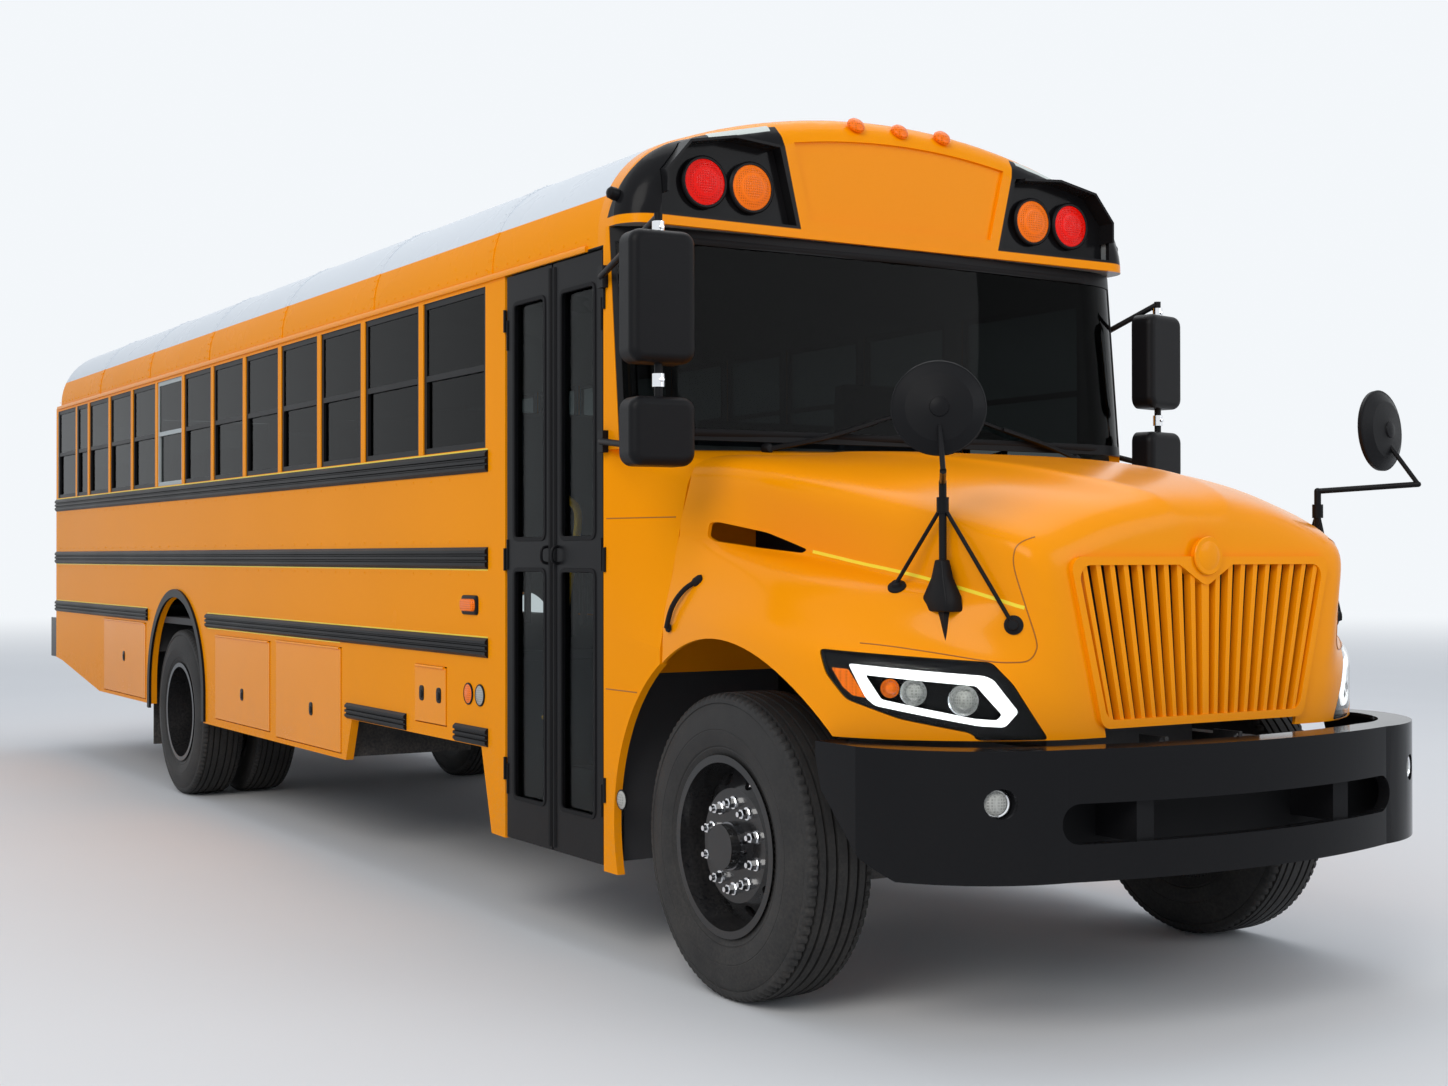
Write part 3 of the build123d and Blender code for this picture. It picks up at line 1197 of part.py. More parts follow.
driver_place = Pos(DRIVER_SEAT_X + 470, DRIVER_SEAT_Y, SEAT_LOW_Z - 20)
cushions.append(driver_place * driver_cushion)
backs.append(driver_place * driver_back)
stands.append(slab(DRIVER_SEAT_X - 60, DRIVER_SEAT_X + 380, DRIVER_SEAT_Y - 150, DRIVER_SEAT_Y + 150,
                   FLOOR_TOP_Z, SEAT_LOW_Z - 20))
write("seat_cushions", *cushions)
write("seat_backs", *backs)
write("seat_stands", *stands)

# Steering wheel on a raked column
WHEEL_HUB = (-1010, DRIVER_SEAT_Y, 1850)
WHEEL_RAKE = 55
STEERING_R = 225
STEERING_GRIP_R = 15
DASH_DEPTH = 260
DASH_Y = (-500, HALF - 140)
DASH_Z = (1500, 1800)
hub_axis = Vector(-cos(radians(WHEEL_RAKE)), 0, sin(radians(WHEEL_RAKE)))
wheel_plane = Plane(origin=WHEEL_HUB, x_dir=(0, 1, 0), z_dir=hub_axis)
grip = Plane.XZ * Pos(STEERING_R, 0) * RegularPolygon(STEERING_GRIP_R, 6)
steering = wheel_plane * revolve(grip, axis=Axis.Z)
for turn in (90, 210, 330):
    reach = Vector(cos(radians(turn)), sin(radians(turn)), 0) * STEERING_R
    tip = wheel_plane.from_local_coords(reach)
    steering += rod(WHEEL_HUB, tuple(tip), 11)
steering += wheel_plane * Cylinder(55, 40)
write("steering_wheel", steering)
column_top = Vector(*WHEEL_HUB) - hub_axis * 26
column_foot = Vector(*WHEEL_HUB) - hub_axis * 420
column = rod(tuple(column_foot), tuple(column_top), 30)
dash = slab(FIREWALL_X - DASH_DEPTH, FIREWALL_X - FIREWALL_THICK, *DASH_Y, *DASH_Z)
write("dashboard", dash + column)

# Stop arm, folded against the driver's side
STOP_X = -2000
STOP_Z = 1660
STOP_ACROSS = 450
STOP_THICK = 14
STOP_Y = HALF + 50
STOP_PIN_R = 5
STOP_BRACKET = (12, 60, 124)
STOP_EAR = 9
octagon = RegularPolygon(STOP_ACROSS / 2, 8, major_radius=False, rotation=22.5)
sign_face = Pos(STOP_X - 60 - STOP_ACROSS / 2, STOP_Z) * octagon
sign_face += box_face(STOP_X - 80, STOP_X, STOP_Z - 110, STOP_Z + 110)
arm = side_view(sign_face, STOP_Y, STOP_Y + STOP_THICK)
pin_y = STOP_Y + STOP_THICK / 2


def stop_pin(half, radius):
    return rod((STOP_X, pin_y, STOP_Z - half), (STOP_X, pin_y, STOP_Z + half), radius)


write("stop_arm", arm + stop_pin(STOP_BRACKET[2] - 2, STOP_PIN_R))
near, far, half_tall = STOP_BRACKET
stop_bracket = slab(STOP_X + near, STOP_X + far, HALF, STOP_Y + STOP_THICK, STOP_Z - half_tall,
                    STOP_Z + half_tall)
for up in (-1, 1):
    stop_bracket += slab(STOP_X - STOP_EAR, STOP_X + near, STOP_Y - 2, STOP_Y + STOP_THICK + 2,
                         *sorted((STOP_Z + up * (half_tall - STOP_EAR), STOP_Z + up * half_tall)))
stop_bracket -= stop_pin(2 * half_tall, STOP_PIN_R + PIN_CLEARANCE)
black_trim.append(stop_bracket)
write("side_trim", *black_trim)

# Outside mirrors: a tall flat one over a small convex one in rounded housings, on a tube frame
MIRROR_WIDTH = 240
MIRROR_DEPTH = 100
MIRROR_CORNER_R = 45
MIRROR_BACK_R = 30
MIRROR_OUT = 145
MIRROR_TUBE_R = 14
MIRROR_ARM_R = 12
MIRROR_POST_X = -740
MIRROR_FOOT = (40, 24, 80)


def mirror_housing(x, y, low, high, turn):
    """A rounded box with a softened front, its glass side facing back."""
    face = RectangleRounded(MIRROR_WIDTH, high - low, MIRROR_CORNER_R)
    box = end_view(face, -MIRROR_DEPTH / 2, MIRROR_DEPTH / 2)
    box = fillet(box.faces().sort_by(Axis.X)[-1].edges(), MIRROR_BACK_R)
    return Pos(x, y, (low + high) / 2) * Rot(0, 0, turn) * box


def side_mirror(x, side, low, high, small_low, small_high, turn):
    """The upper and lower tubes reach from feet on the corner post to a bar behind the heads."""
    y = side * (HALF + MIRROR_OUT)
    heads = mirror_housing(x, y, low, high, turn) + mirror_housing(x, y, small_low, small_high, turn)
    frame = rod((x, y, small_low + 30), (x, y, high + 60), MIRROR_TUBE_R)
    depth, proud, tall = MIRROR_FOOT
    root_y = side * (HALF + proud - 4)
    for head_z, foot_z in ((high + 50, high - 60), (small_low + 60, small_low + 120)):
        frame += rod((x, y, head_z), (MIRROR_POST_X, root_y, foot_z), MIRROR_ARM_R)
        foot = box_face(MIRROR_POST_X - depth / 2, MIRROR_POST_X + depth / 2, foot_z - tall / 2, foot_z + tall / 2)
        frame += side_view(foot, *sorted((side * HALF, side * (HALF + proud))))
    return heads + frame


# x, side, tall mirror's bottom and top, small mirror's bottom and top, turn about its bar
write("side_mirrors", side_mirror(-100, -1, 2110, 2550, 1770, 2000, -4),
      side_mirror(-560, 1, 2100, 2500, 1790, 2000, 12))

# Cross-view mirrors on posts that stand on the fenders
CROSS_FOOT = (747, 843, 1150)
CROSS_TOP_Z = 1700
CROSS_TIP = (1010, 1050, 1720)
CROSS_MIDDLE = (900, 980, 1910)
CROSS_BASE = (110, 60, 170)
CROSS_POST_R = 12
CROSS_ARM_R = 10
CROSS_R = 140
CROSS_DEPTH = 46
# side, direction in which the mirror's domed back faces
CROSS_BACKS = [(-1, (0.82, -0.57, 0.05)), (1, (0.98, 0.19, 0.05))]


def cross_mirror(side, back):
    """A wedge foot, a post, a cranked arm with a brace and a round mirror with a domed back."""
    foot, tip, middle = [(x, side * y, z) for x, y, z in (CROSS_FOOT, CROSS_TIP, CROSS_MIDDLE)]
    top = (foot[0], foot[1], CROSS_TOP_Z)
    stand = rod(foot, top, CROSS_POST_R) + rod(top, tip, CROSS_ARM_R) + rod(tip, middle, CROSS_ARM_R - 2)
    stand = stand + Pos(*top) * Sphere(CROSS_POST_R) + Pos(*tip) * Sphere(CROSS_ARM_R)
    long, wide, tall = CROSS_BASE
    base_top = Pos(*foot) * Pos(0, 0, tall) * Rectangle(long * 0.45, wide * 0.6)
    base = loft([Pos(*foot) * Rectangle(long, wide), base_top])
    dome = outline([(0, 0), (CROSS_R, 0), (CROSS_R, 12), (CROSS_R * 0.72, CROSS_DEPTH * 0.72),
                    (0, CROSS_DEPTH)])
    bowl = Plane(origin=middle, z_dir=back) * revolve(Plane.XZ * dome, axis=Axis.Z)
    return stand + base - HOOD_OUTER + bowl


write("cross_mirrors", *[cross_mirror(side, back) for side, back in CROSS_BACKS])
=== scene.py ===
from math import atan2, cos, pi, radians, sin

import bmesh
import bpy
import numpy as np
from mathutils import Matrix, Vector
from mathutils.bvhtree import BVHTree


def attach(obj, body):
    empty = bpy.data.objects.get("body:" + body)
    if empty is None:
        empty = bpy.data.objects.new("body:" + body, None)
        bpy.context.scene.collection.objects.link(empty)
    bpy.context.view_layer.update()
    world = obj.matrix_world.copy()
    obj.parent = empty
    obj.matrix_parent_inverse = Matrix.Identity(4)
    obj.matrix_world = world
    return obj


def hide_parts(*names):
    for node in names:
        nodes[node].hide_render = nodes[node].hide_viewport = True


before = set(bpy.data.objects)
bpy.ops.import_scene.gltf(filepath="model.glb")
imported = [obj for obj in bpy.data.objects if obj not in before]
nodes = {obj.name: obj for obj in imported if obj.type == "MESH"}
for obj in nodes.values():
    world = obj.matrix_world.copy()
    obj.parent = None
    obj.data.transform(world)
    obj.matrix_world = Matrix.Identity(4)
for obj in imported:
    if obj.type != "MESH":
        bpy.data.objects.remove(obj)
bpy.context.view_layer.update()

# Studio: a pale floor, a pale sky and three broad soft lamps. The bus stands on z = 0 with its
# middle over the origin, its front towards +X and its driver's side towards +Y.
FLOOR_REACH = 160
FLOOR_GREY = 0.74
# the floor fades into the sky between these two distances from the middle
HAZE_NEAR = 9.0
HAZE_FAR = 40.0
SKY_SEEN = (0.90, 0.93, 0.96)
SKY_LIGHT = (0.80, 0.88, 1.00)
SKY_POWER = 0.60
# name, place, aimed at, width, watts, colour
LAMPS = [("key_lamp", (14, -15, 13), (2, 0, 1.2), 12, 1850, (1.0, 0.97, 0.92)),
         ("roof_lamp", (-2, 3, 16), (0, 0, 1), 16, 900, (1.0, 1.0, 1.0)),
         ("nose_lamp", (17, 8, 7), (5, 0, 1.3), 8, 350, (0.96, 0.98, 1.0))]
# the camera: its place in metres, its direction in degrees and its lens in millimetres
EYE = (9.622, -4.441, 1.475)
EYE_BEARING = 180 - 31.76
EYE_RISE = 0.38
EYE_ROLL = -0.073
EYE_LENS = 46.53
EYE_SENSOR = 36


def new_material(name):
    """A material that holds one Principled shader and its output."""
    material = bpy.data.materials.new(name)
    material.use_nodes = True
    tree = material.node_tree
    tree.nodes.clear()
    shader = tree.nodes.new("ShaderNodeBsdfPrincipled")
    output = tree.nodes.new("ShaderNodeOutputMaterial")
    tree.links.new(shader.outputs["BSDF"], output.inputs["Surface"])
    return material, tree, shader


def put(tree, kind, settings=None, **values):
    """A node with its settings; a value is a number, a colour or the socket that feeds it."""
    made = tree.nodes.new(kind)
    for key, value in (settings or {}).items():
        setattr(made, key, value)
    for key, value in values.items():
        key = int(key[1:]) if key[0] == "_" and key[1:].isdigit() else key.replace("_", " ")
        if isinstance(value, bpy.types.NodeSocket):
            tree.links.new(value, made.inputs[key])
        else:
            made.inputs[key].default_value = value
    return made


def sums(tree, operation, a, b=0.0):
    """One arithmetic step, as a socket."""
    return put(tree, "ShaderNodeMath", {"operation": operation}, _0=a, _1=b).outputs[0]


def object_spot(tree):
    """A surface point's place in its object, as a socket."""
    return put(tree, "ShaderNodeTexCoord").outputs["Object"]


def grey_of(tree, level):
    """A grey of a given level."""
    return put(tree, "ShaderNodeCombineColor", Red=level, Green=level, Blue=level).outputs[0]


def blend(tree, share, ground, colour, kind="MIX"):
    """Two colours mixed by a share, as a socket."""
    return put(tree, "ShaderNodeMix", {"data_type": "RGBA", "blend_type": kind}, _0=share,
               _6=ground, _7=colour).outputs[2]


def looked_at(tree):
    """1 for rays that reach the eye straight, by a reflection or through glass."""
    path = put(tree, "ShaderNodeLightPath").outputs
    seen = sums(tree, "MAXIMUM", path["Is Camera Ray"], path["Is Glossy Ray"])
    return sums(tree, "MAXIMUM", seen, path["Is Transmission Ray"])


def mesh_piece(name, points, faces, material=None, smooth=0.0):
    """A mesh object at the origin with its place in its mesh, smooth below an angle."""
    mesh = bpy.data.meshes.new(name)
    mesh.from_pydata([tuple(p) for p in points], [], [tuple(f) for f in faces])
    mesh.validate()
    if material:
        mesh.materials.append(material)
    if smooth:
        mesh.shade_smooth()
        mesh.set_sharp_from_angle(angle=radians(smooth))
    piece = bpy.data.objects.new(name, mesh)
    bpy.context.scene.collection.objects.link(piece)
    return piece


floor_paint, tree, shader = new_material("floor_paint")
spot = object_spot(tree)
cloudy = put(tree, "ShaderNodeTexNoise", Vector=spot, Scale=0.35, Detail=5.0).outputs["Fac"]
shade = put(tree, "ShaderNodeMapRange", Value=cloudy, To_Min=FLOOR_GREY * 0.97,
            To_Max=FLOOR_GREY * 1.03).outputs[0]
tree.links.new(grey_of(tree, shade), shader.inputs["Base Color"])
shader.inputs["Roughness"].default_value = 0.85
distance = put(tree, "ShaderNodeVectorMath", {"operation": "LENGTH"}, _0=spot).outputs["Value"]
away = put(tree, "ShaderNodeMapRange", {"interpolation_type": "SMOOTHSTEP"}, Value=distance,
           From_Min=HAZE_NEAR, From_Max=HAZE_FAR).outputs[0]
haze = put(tree, "ShaderNodeEmission", Color=(*SKY_SEEN, 1), Strength=1.0)
faded = put(tree, "ShaderNodeMixShader", _0=sums(tree, "MULTIPLY", looked_at(tree), away))
tree.links.new(shader.outputs[0], faded.inputs[1])
tree.links.new(haze.outputs[0], faded.inputs[2])
output = next(node for node in tree.nodes if node.type == "OUTPUT_MATERIAL")
tree.links.new(faded.outputs[0], output.inputs["Surface"])
corners = [(a * FLOOR_REACH, b * FLOOR_REACH, 0) for a, b in ((-1, -1), (1, -1), (1, 1), (-1, 1))]
studio_floor = mesh_piece("studio_floor", corners, [(0, 1, 2, 3)], floor_paint)

sky = bpy.data.worlds.new("soft_sky")
sky.use_nodes = True
sky.node_tree.nodes.clear()
seen = put(sky.node_tree, "ShaderNodeBackground", Color=(*SKY_SEEN, 1), Strength=1.0)
lit = put(sky.node_tree, "ShaderNodeBackground", Color=(*SKY_LIGHT, 1), Strength=SKY_POWER)
mixed = put(sky.node_tree, "ShaderNodeMixShader", _0=looked_at(sky.node_tree))
sky.node_tree.links.new(lit.outputs[0], mixed.inputs[1])
sky.node_tree.links.new(seen.outputs[0], mixed.inputs[2])
sky_out = sky.node_tree.nodes.new("ShaderNodeOutputWorld")
sky.node_tree.links.new(mixed.outputs[0], sky_out.inputs["Surface"])
bpy.context.scene.world = sky

for name, place, aim, width, watts, colour in LAMPS:
    light = bpy.data.lights.new(name, "AREA")
    light.shape = "DISK"
    light.size = width
    light.energy = watts
    light.color = colour
    lamp = bpy.data.objects.new(name, light)
    lamp.location = place
    lamp.rotation_euler = (Vector(aim) - Vector(place)).to_track_quat("-Z", "Y").to_euler()
    bpy.context.scene.collection.objects.link(lamp)

lens = bpy.data.cameras.new("camera")
lens.lens = EYE_LENS
lens.sensor_width = EYE_SENSOR
lens.sensor_fit = "HORIZONTAL"
lens.clip_end = 500
camera = bpy.data.objects.new("camera", lens)
bearing, rise = radians(EYE_BEARING), radians(EYE_RISE)
look = Vector((cos(rise) * cos(bearing), cos(rise) * sin(bearing), sin(rise)))
turn = look.to_track_quat("-Z", "Y").to_matrix().to_4x4()
turn = turn @ Matrix.Rotation(radians(EYE_ROLL), 4, "Z")
camera.matrix_world = Matrix.Translation(EYE) @ turn
bpy.context.scene.collection.objects.link(camera)
bpy.context.scene.camera = camera
bpy.context.scene.view_settings.view_transform = "Standard"

# Chassis: black-painted rails, axles and tank, a dark iron engine, steel spring packs, a
# heat-stained exhaust and rubber flaps, all bolted up under the floor. Road film lies on them.
CHASSIS_BLACK = (0.020, 0.020, 0.022)
SPRING_GREY = (0.055, 0.055, 0.060)
EXHAUST_GREY = (0.30, 0.26, 0.22)
RUBBER_BLACK = (0.016, 0.016, 0.017)
FILM_COLOUR = (0.16, 0.14, 0.12)


def effect(name, inputs, outputs):
    """An empty shader group with its named sockets, and its two ends."""
    tree = bpy.data.node_groups.new(name, "ShaderNodeTree")
    for label, kind, value in inputs:
        socket = tree.interface.new_socket(label, in_out="INPUT", socket_type=kind)
        if value is not None:
            socket.default_value = value
    for label, kind in outputs:
        tree.interface.new_socket(label, in_out="OUTPUT", socket_type=kind)
    return tree, tree.nodes.new("NodeGroupInput"), tree.nodes.new("NodeGroupOutput")


def road_film():
    """Dust and dried splash that thin out upwards: a film over colour and gloss."""
    tree, start, end = effect(
        "Road Film",
        [("Color", "NodeSocketColor", (0.5, 0.5, 0.5, 1)), ("Roughness", "NodeSocketFloat", 0.4),
         ("Film Color", "NodeSocketColor", (*FILM_COLOUR, 1)), ("Amount", "NodeSocketFloat", 0.3),
         ("Top Height", "NodeSocketFloat", 1.0)],
        [("Color", "NodeSocketColor"), ("Roughness", "NodeSocketFloat")])
    spot = object_spot(tree)
    height = put(tree, "ShaderNodeSeparateXYZ", Vector=spot).outputs["Z"]
    low = put(tree, "ShaderNodeMapRange", {"interpolation_type": "SMOOTHSTEP"}, Value=height,
              From_Min=0.15, From_Max=start.outputs["Top Height"], To_Min=1.0,
              To_Max=0.0).outputs[0]
    blotch = put(tree, "ShaderNodeTexNoise", Vector=spot, Scale=6.0, Detail=8.0,
                 Roughness=0.65).outputs["Fac"]
    speck = put(tree, "ShaderNodeTexNoise", Vector=spot, Scale=90.0, Detail=3.0).outputs["Fac"]
    patch = put(tree, "ShaderNodeMapRange", Value=sums(tree, "MULTIPLY", blotch, speck),
                From_Min=0.14, From_Max=0.42)
    cover = sums(tree, "MULTIPLY", sums(tree, "MULTIPLY", low, patch.outputs[0]),
                 start.outputs["Amount"])
    colour = blend(tree, cover, start.outputs["Color"], start.outputs["Film Color"])
    rough = put(tree, "ShaderNodeMix", {"data_type": "FLOAT"}, _0=cover,
                _2=start.outputs["Roughness"], _3=0.92)
    tree.links.new(colour, end.inputs["Color"])
    tree.links.new(rough.outputs[0], end.inputs["Roughness"])
    return tree


def fine_grain():
    """A fine uneven surface: mottled gloss and a small height."""
    tree, start, end = effect(
        "Fine Grain",
        [("Scale", "NodeSocketFloat", 200.0), ("Roughness", "NodeSocketFloat", 0.4),
         ("Spread", "NodeSocketFloat", 0.1)],
        [("Height", "NodeSocketFloat"), ("Roughness", "NodeSocketFloat")])
    spot = object_spot(tree)
    fine = put(tree, "ShaderNodeTexNoise", Vector=spot, Scale=start.outputs["Scale"],
               Detail=4.0).outputs["Fac"]
    broad = put(tree, "ShaderNodeTexNoise", Vector=spot, Scale=2.3, Detail=5.0).outputs["Fac"]
    swing = sums(tree, "MULTIPLY", sums(tree, "SUBTRACT", broad, 0.5), start.outputs["Spread"])
    tree.links.new(fine, end.inputs["Height"])
    tree.links.new(sums(tree, "ADD", start.outputs["Roughness"], swing), end.inputs["Roughness"])
    return tree


ROAD_FILM = road_film()
FINE_GRAIN = fine_grain()


def finish(name, colour, rough, grain=200.0, bump=0.1, film=0.3, film_top=1.0, metallic=0.0,
           coat=0.0, spread=0.12, gleam=0.5):
    """A colour, or a socket that a function makes, with grain and road film."""
    material, tree, shader = new_material(name)
    grained = put(tree, "ShaderNodeGroup", {"node_tree": FINE_GRAIN}, Scale=grain, Roughness=rough,
                  Spread=spread)
    ground = colour(tree) if callable(colour) else (*colour, 1)
    filmed = put(tree, "ShaderNodeGroup", {"node_tree": ROAD_FILM}, Color=ground, Amount=film,
                 Top_Height=film_top, Roughness=grained.outputs["Roughness"])
    tree.links.new(filmed.outputs["Color"], shader.inputs["Base Color"])
    tree.links.new(filmed.outputs["Roughness"], shader.inputs["Roughness"])
    relief = put(tree, "ShaderNodeBump", Strength=bump, Distance=0.002,
                 Height=grained.outputs["Height"])
    tree.links.new(relief.outputs[0], shader.inputs["Normal"])
    shader.inputs["Metallic"].default_value = metallic
    shader.inputs["Coat Weight"].default_value = coat
    shader.inputs["Coat Roughness"].default_value = 0.06
    shader.inputs["Specular IOR Level"].default_value = gleam
    return material


def paint(material, *names):
    """Give CAD nodes a material in their objects' slots."""
    for name in names:
        for slot in nodes[name].material_slots:
            slot.material = material


chassis_paint = finish("chassis_paint", CHASSIS_BLACK, 0.45, bump=0.25, film=0.75, film_top=1.2)
spring_steel = finish("spring_steel", SPRING_GREY, 0.5, bump=0.3, film=0.8, film_top=1.2,
                      metallic=0.7)
exhaust_steel = finish("exhaust_steel", EXHAUST_GREY, 0.42, grain=60, film=0.7, film_top=1.2,
                       metallic=0.9, spread=0.3)
engine_iron = finish("engine_iron", (0.07, 0.07, 0.075), 0.6, grain=120, bump=0.5, film=0.5,
                     film_top=1.5)
flap_rubber = finish("flap_rubber", RUBBER_BLACK, 0.75, grain=300, bump=0.4, film=0.7, film_top=0.9)
paint(chassis_paint, "frame_rails", "front_axle", "rear_axle", "tow_eyes", "fuel_tank",
      "floor_sills", "steering_knuckle_left", "steering_knuckle_right", "underfloor_boxes",
      "seat_stands")
paint(spring_steel, "leaf_springs")
paint(exhaust_steel, "exhaust")
paint(engine_iron, "engine")
paint(flap_rubber, "mud_flaps")

# Wheels: ribbed black tyres with small cuts along their shoulders, on gloss black steel discs
# that are held by ten chromed nuts round a dark hub cap; the rear ones are twins.
AXLE_FRONT_X = 4.34
AXLE_REAR_X = AXLE_FRONT_X - 6.38
AXLE_HEIGHT = 0.51
TYRE_R = 0.51
BEAD_R = 0.293
# distance from the tyre's middle, radius: from the middle of the tread out to the bead
GROOVE_R = TYRE_R - 0.013
TREAD = [(0.000, TYRE_R), (0.017, TYRE_R), (0.019, GROOVE_R), (0.026, GROOVE_R), (0.028, TYRE_R),
         (0.054, TYRE_R - 0.0007), (0.056, GROOVE_R), (0.063, GROOVE_R), (0.065, TYRE_R - 0.001),
         (0.086, TYRE_R - 0.0015), (0.088, GROOVE_R), (0.093, GROOVE_R), (0.095, TYRE_R - 0.002),
         (0.108, TYRE_R - 0.004), (0.117, TYRE_R - 0.010), (0.122, TYRE_R - 0.020),
         (0.124, TYRE_R - 0.034), (0.121, TYRE_R - 0.037), (0.124, TYRE_R - 0.041),
         (0.131, TYRE_R - 0.062), (0.1375, TYRE_R - 0.095), (0.139, TYRE_R - 0.120),
         (0.1375, TYRE_R - 0.123), (0.139, TYRE_R - 0.126), (0.137, TYRE_R - 0.150),
         (0.130, TYRE_R - 0.176), (0.126, TYRE_R - 0.180), (0.127, TYRE_R - 0.185),
         (0.120, TYRE_R - 0.200), (0.112, BEAD_R), (0.095, BEAD_R)]
SHOULDER_CUTS = 96
CUT_DEPTH = 0.008
NUT_CIRCLE_R = 0.1429
NUTS = 10
# the middles of the tyres and the wheels' outer discs from the middle of the bus, and how far
# each hub cap stands out
FRONT_TYRE_Y = 1.050
REAR_OUTER_Y = 1.068
REAR_INNER_Y = REAR_OUTER_Y - 0.335
FRONT_DISC_Y = FRONT_TYRE_Y + 0.082
REAR_DISC_Y = REAR_OUTER_Y - 0.063
FRONT_CAP_STAND = 0.055
REAR_CAP_STAND = 0.10


def lathe(profile, around, bumps=None):
    """Points and faces of an (along, radius) profile spun about Y; bumps change a radius."""
    points, faces = [], []
    for step in range(around):
        angle = 2 * pi * step / around
        for index, (along, radius) in enumerate(profile):
            r = radius + (bumps(step, index) if bumps else 0)
            points.append((r * cos(angle), along, r * sin(angle)))
    count = len(profile)
    for step in range(around):
        here, there = step * count, (step + 1) % around * count
        for index in range(count - 1):
            faces.append((here + index, here + index + 1, there + index + 1, there + index))
    return points, faces


def shifted(points, x, y, z):
    """Points moved by a step."""
    return [(a + x, b + y, c + z) for a, b, c in points]


def outward(piece, distance=0.0001):
    """Merge doubles and point every face outwards."""
    work = bmesh.new()
    work.from_mesh(piece.data)
    bmesh.ops.remove_doubles(work, verts=work.verts, dist=distance)
    bmesh.ops.recalc_face_normals(work, faces=work.faces)
    work.to_mesh(piece.data)
    work.free()
    return piece


def joined(name, pieces):
    """Several mesh objects made one."""
    target = pieces[0]
    with bpy.context.temp_override(active_object=target, object=target,
                                   selected_editable_objects=pieces, selected_objects=pieces):
        bpy.ops.object.join()
    target.name = name
    target.data.name = name
    return target


def tyre_colour(tree):
    """Black rubber, a little browner and greyer in random patches."""
    spot = object_spot(tree)
    patch = put(tree, "ShaderNodeTexNoise", Vector=spot, Scale=9.0, Detail=6.0).outputs["Fac"]
    return blend(tree, patch, (0.012, 0.012, 0.013, 1), (0.032, 0.031, 0.030, 1))


tyre_rubber = finish("tyre_rubber", tyre_colour, 0.62, grain=420, bump=0.35, film=0.18,
                     film_top=1.2, spread=0.25, gleam=0.25)
wheel_black = finish("wheel_black", (0.010, 0.010, 0.011), 0.18, grain=60, bump=0.04, film=0.12,
                     film_top=1.3, coat=0.15, gleam=0.3)
chrome = finish("chrome", (0.82, 0.83, 0.85), 0.10, grain=60, bump=0.02, film=0.1, metallic=1.0,
                spread=0.04)
dark_chrome = finish("dark_chrome", (0.16, 0.16, 0.17), 0.18, grain=60, bump=0.02, film=0.1,
                     metallic=1.0)

profile = [(-along, r) for along, r in reversed(TREAD)] + TREAD[1:]
shoulders = [i for i, (along, r) in enumerate(profile) if 0.094 < abs(along) < 0.1185]


def shoulder_cut(step, index):
    """Every third step of the tyre's shoulders is cut in."""
    return -CUT_DEPTH if step % 3 == 0 and index in shoulders else 0.0


def tyre():
    """A whole tyre round the origin."""
    points, faces = lathe(profile + [profile[0]], SHOULDER_CUTS * 3, shoulder_cut)
    return outward(mesh_piece("tyre", points, faces, tyre_rubber, 28))


def placed(piece, x, y, z, mirror=False):
    """Move a mesh to its place; a mirrored one is turned about the upright."""
    spin = Matrix.Rotation(pi, 4, "Z") if mirror else Matrix.Identity(4)
    piece.data.transform(Matrix.Translation((x, y, z)) @ spin)
    return piece


for word, side in (("left", 1), ("right", -1)):
    front = placed(tyre(), AXLE_FRONT_X, side * FRONT_TYRE_Y, AXLE_HEIGHT)
    front.name = f"tread_front_{word}"
    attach(front, f"wheel_front_{word}")
    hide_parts(f"tyre_front_{word}")
    twins = [placed(tyre(), AXLE_REAR_X, side * y, AXLE_HEIGHT)
             for y in (REAR_OUTER_Y, REAR_INNER_Y)]
    twins = joined(f"tread_rear_{word}", twins)
    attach(twins, f"wheels_rear_{word}")
    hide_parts(f"tyres_rear_{word}")
    paint(wheel_black, f"wheel_front_{word}", f"wheels_rear_{word}")


def fastener_heads():
    """A head at every point of a mesh: a short cone that stands along the point's facing."""
    tree = bpy.data.node_groups.new("Fastener Heads", "GeometryNodeTree")
    tree.interface.new_socket("Places", in_out="INPUT", socket_type="NodeSocketGeometry")
    for label, kind, value in (("Sides", "NodeSocketInt", 8),
                               ("Head Radius", "NodeSocketFloat", 0.006),
                               ("Top Share", "NodeSocketFloat", 0.6),
                               ("Head Height", "NodeSocketFloat", 0.003),
                               ("Finish", "NodeSocketMaterial", None)):
        socket = tree.interface.new_socket(label, in_out="INPUT", socket_type=kind)
        if value is not None:
            socket.default_value = value
    tree.interface.new_socket("Heads", in_out="OUTPUT", socket_type="NodeSocketGeometry")
    start, end = tree.nodes.new("NodeGroupInput"), tree.nodes.new("NodeGroupOutput")
    top = sums(tree, "MULTIPLY", start.outputs["Head Radius"], start.outputs["Top Share"])
    head = put(tree, "GeometryNodeMeshCone", Vertices=start.outputs["Sides"], Radius_Top=top,
               Radius_Bottom=start.outputs["Head Radius"], Depth=start.outputs["Head Height"])
    facing = put(tree, "GeometryNodeInputNamedAttribute", {"data_type": "FLOAT_VECTOR"},
                 Name="facing").outputs[0]
    turned = put(tree, "FunctionNodeAlignRotationToVector", Vector=facing)
    spread = put(tree, "GeometryNodeInstanceOnPoints", Points=start.outputs["Places"],
                 Instance=head.outputs["Mesh"], Rotation=turned.outputs[0])
    solid = put(tree, "GeometryNodeRealizeInstances", Geometry=spread.outputs[0])
    finished = put(tree, "GeometryNodeSetMaterial", Geometry=solid.outputs[0],
                   Material=start.outputs["Finish"])
    tree.links.new(finished.outputs[0], end.inputs[0])
    return tree


FASTENER_HEADS = fastener_heads()


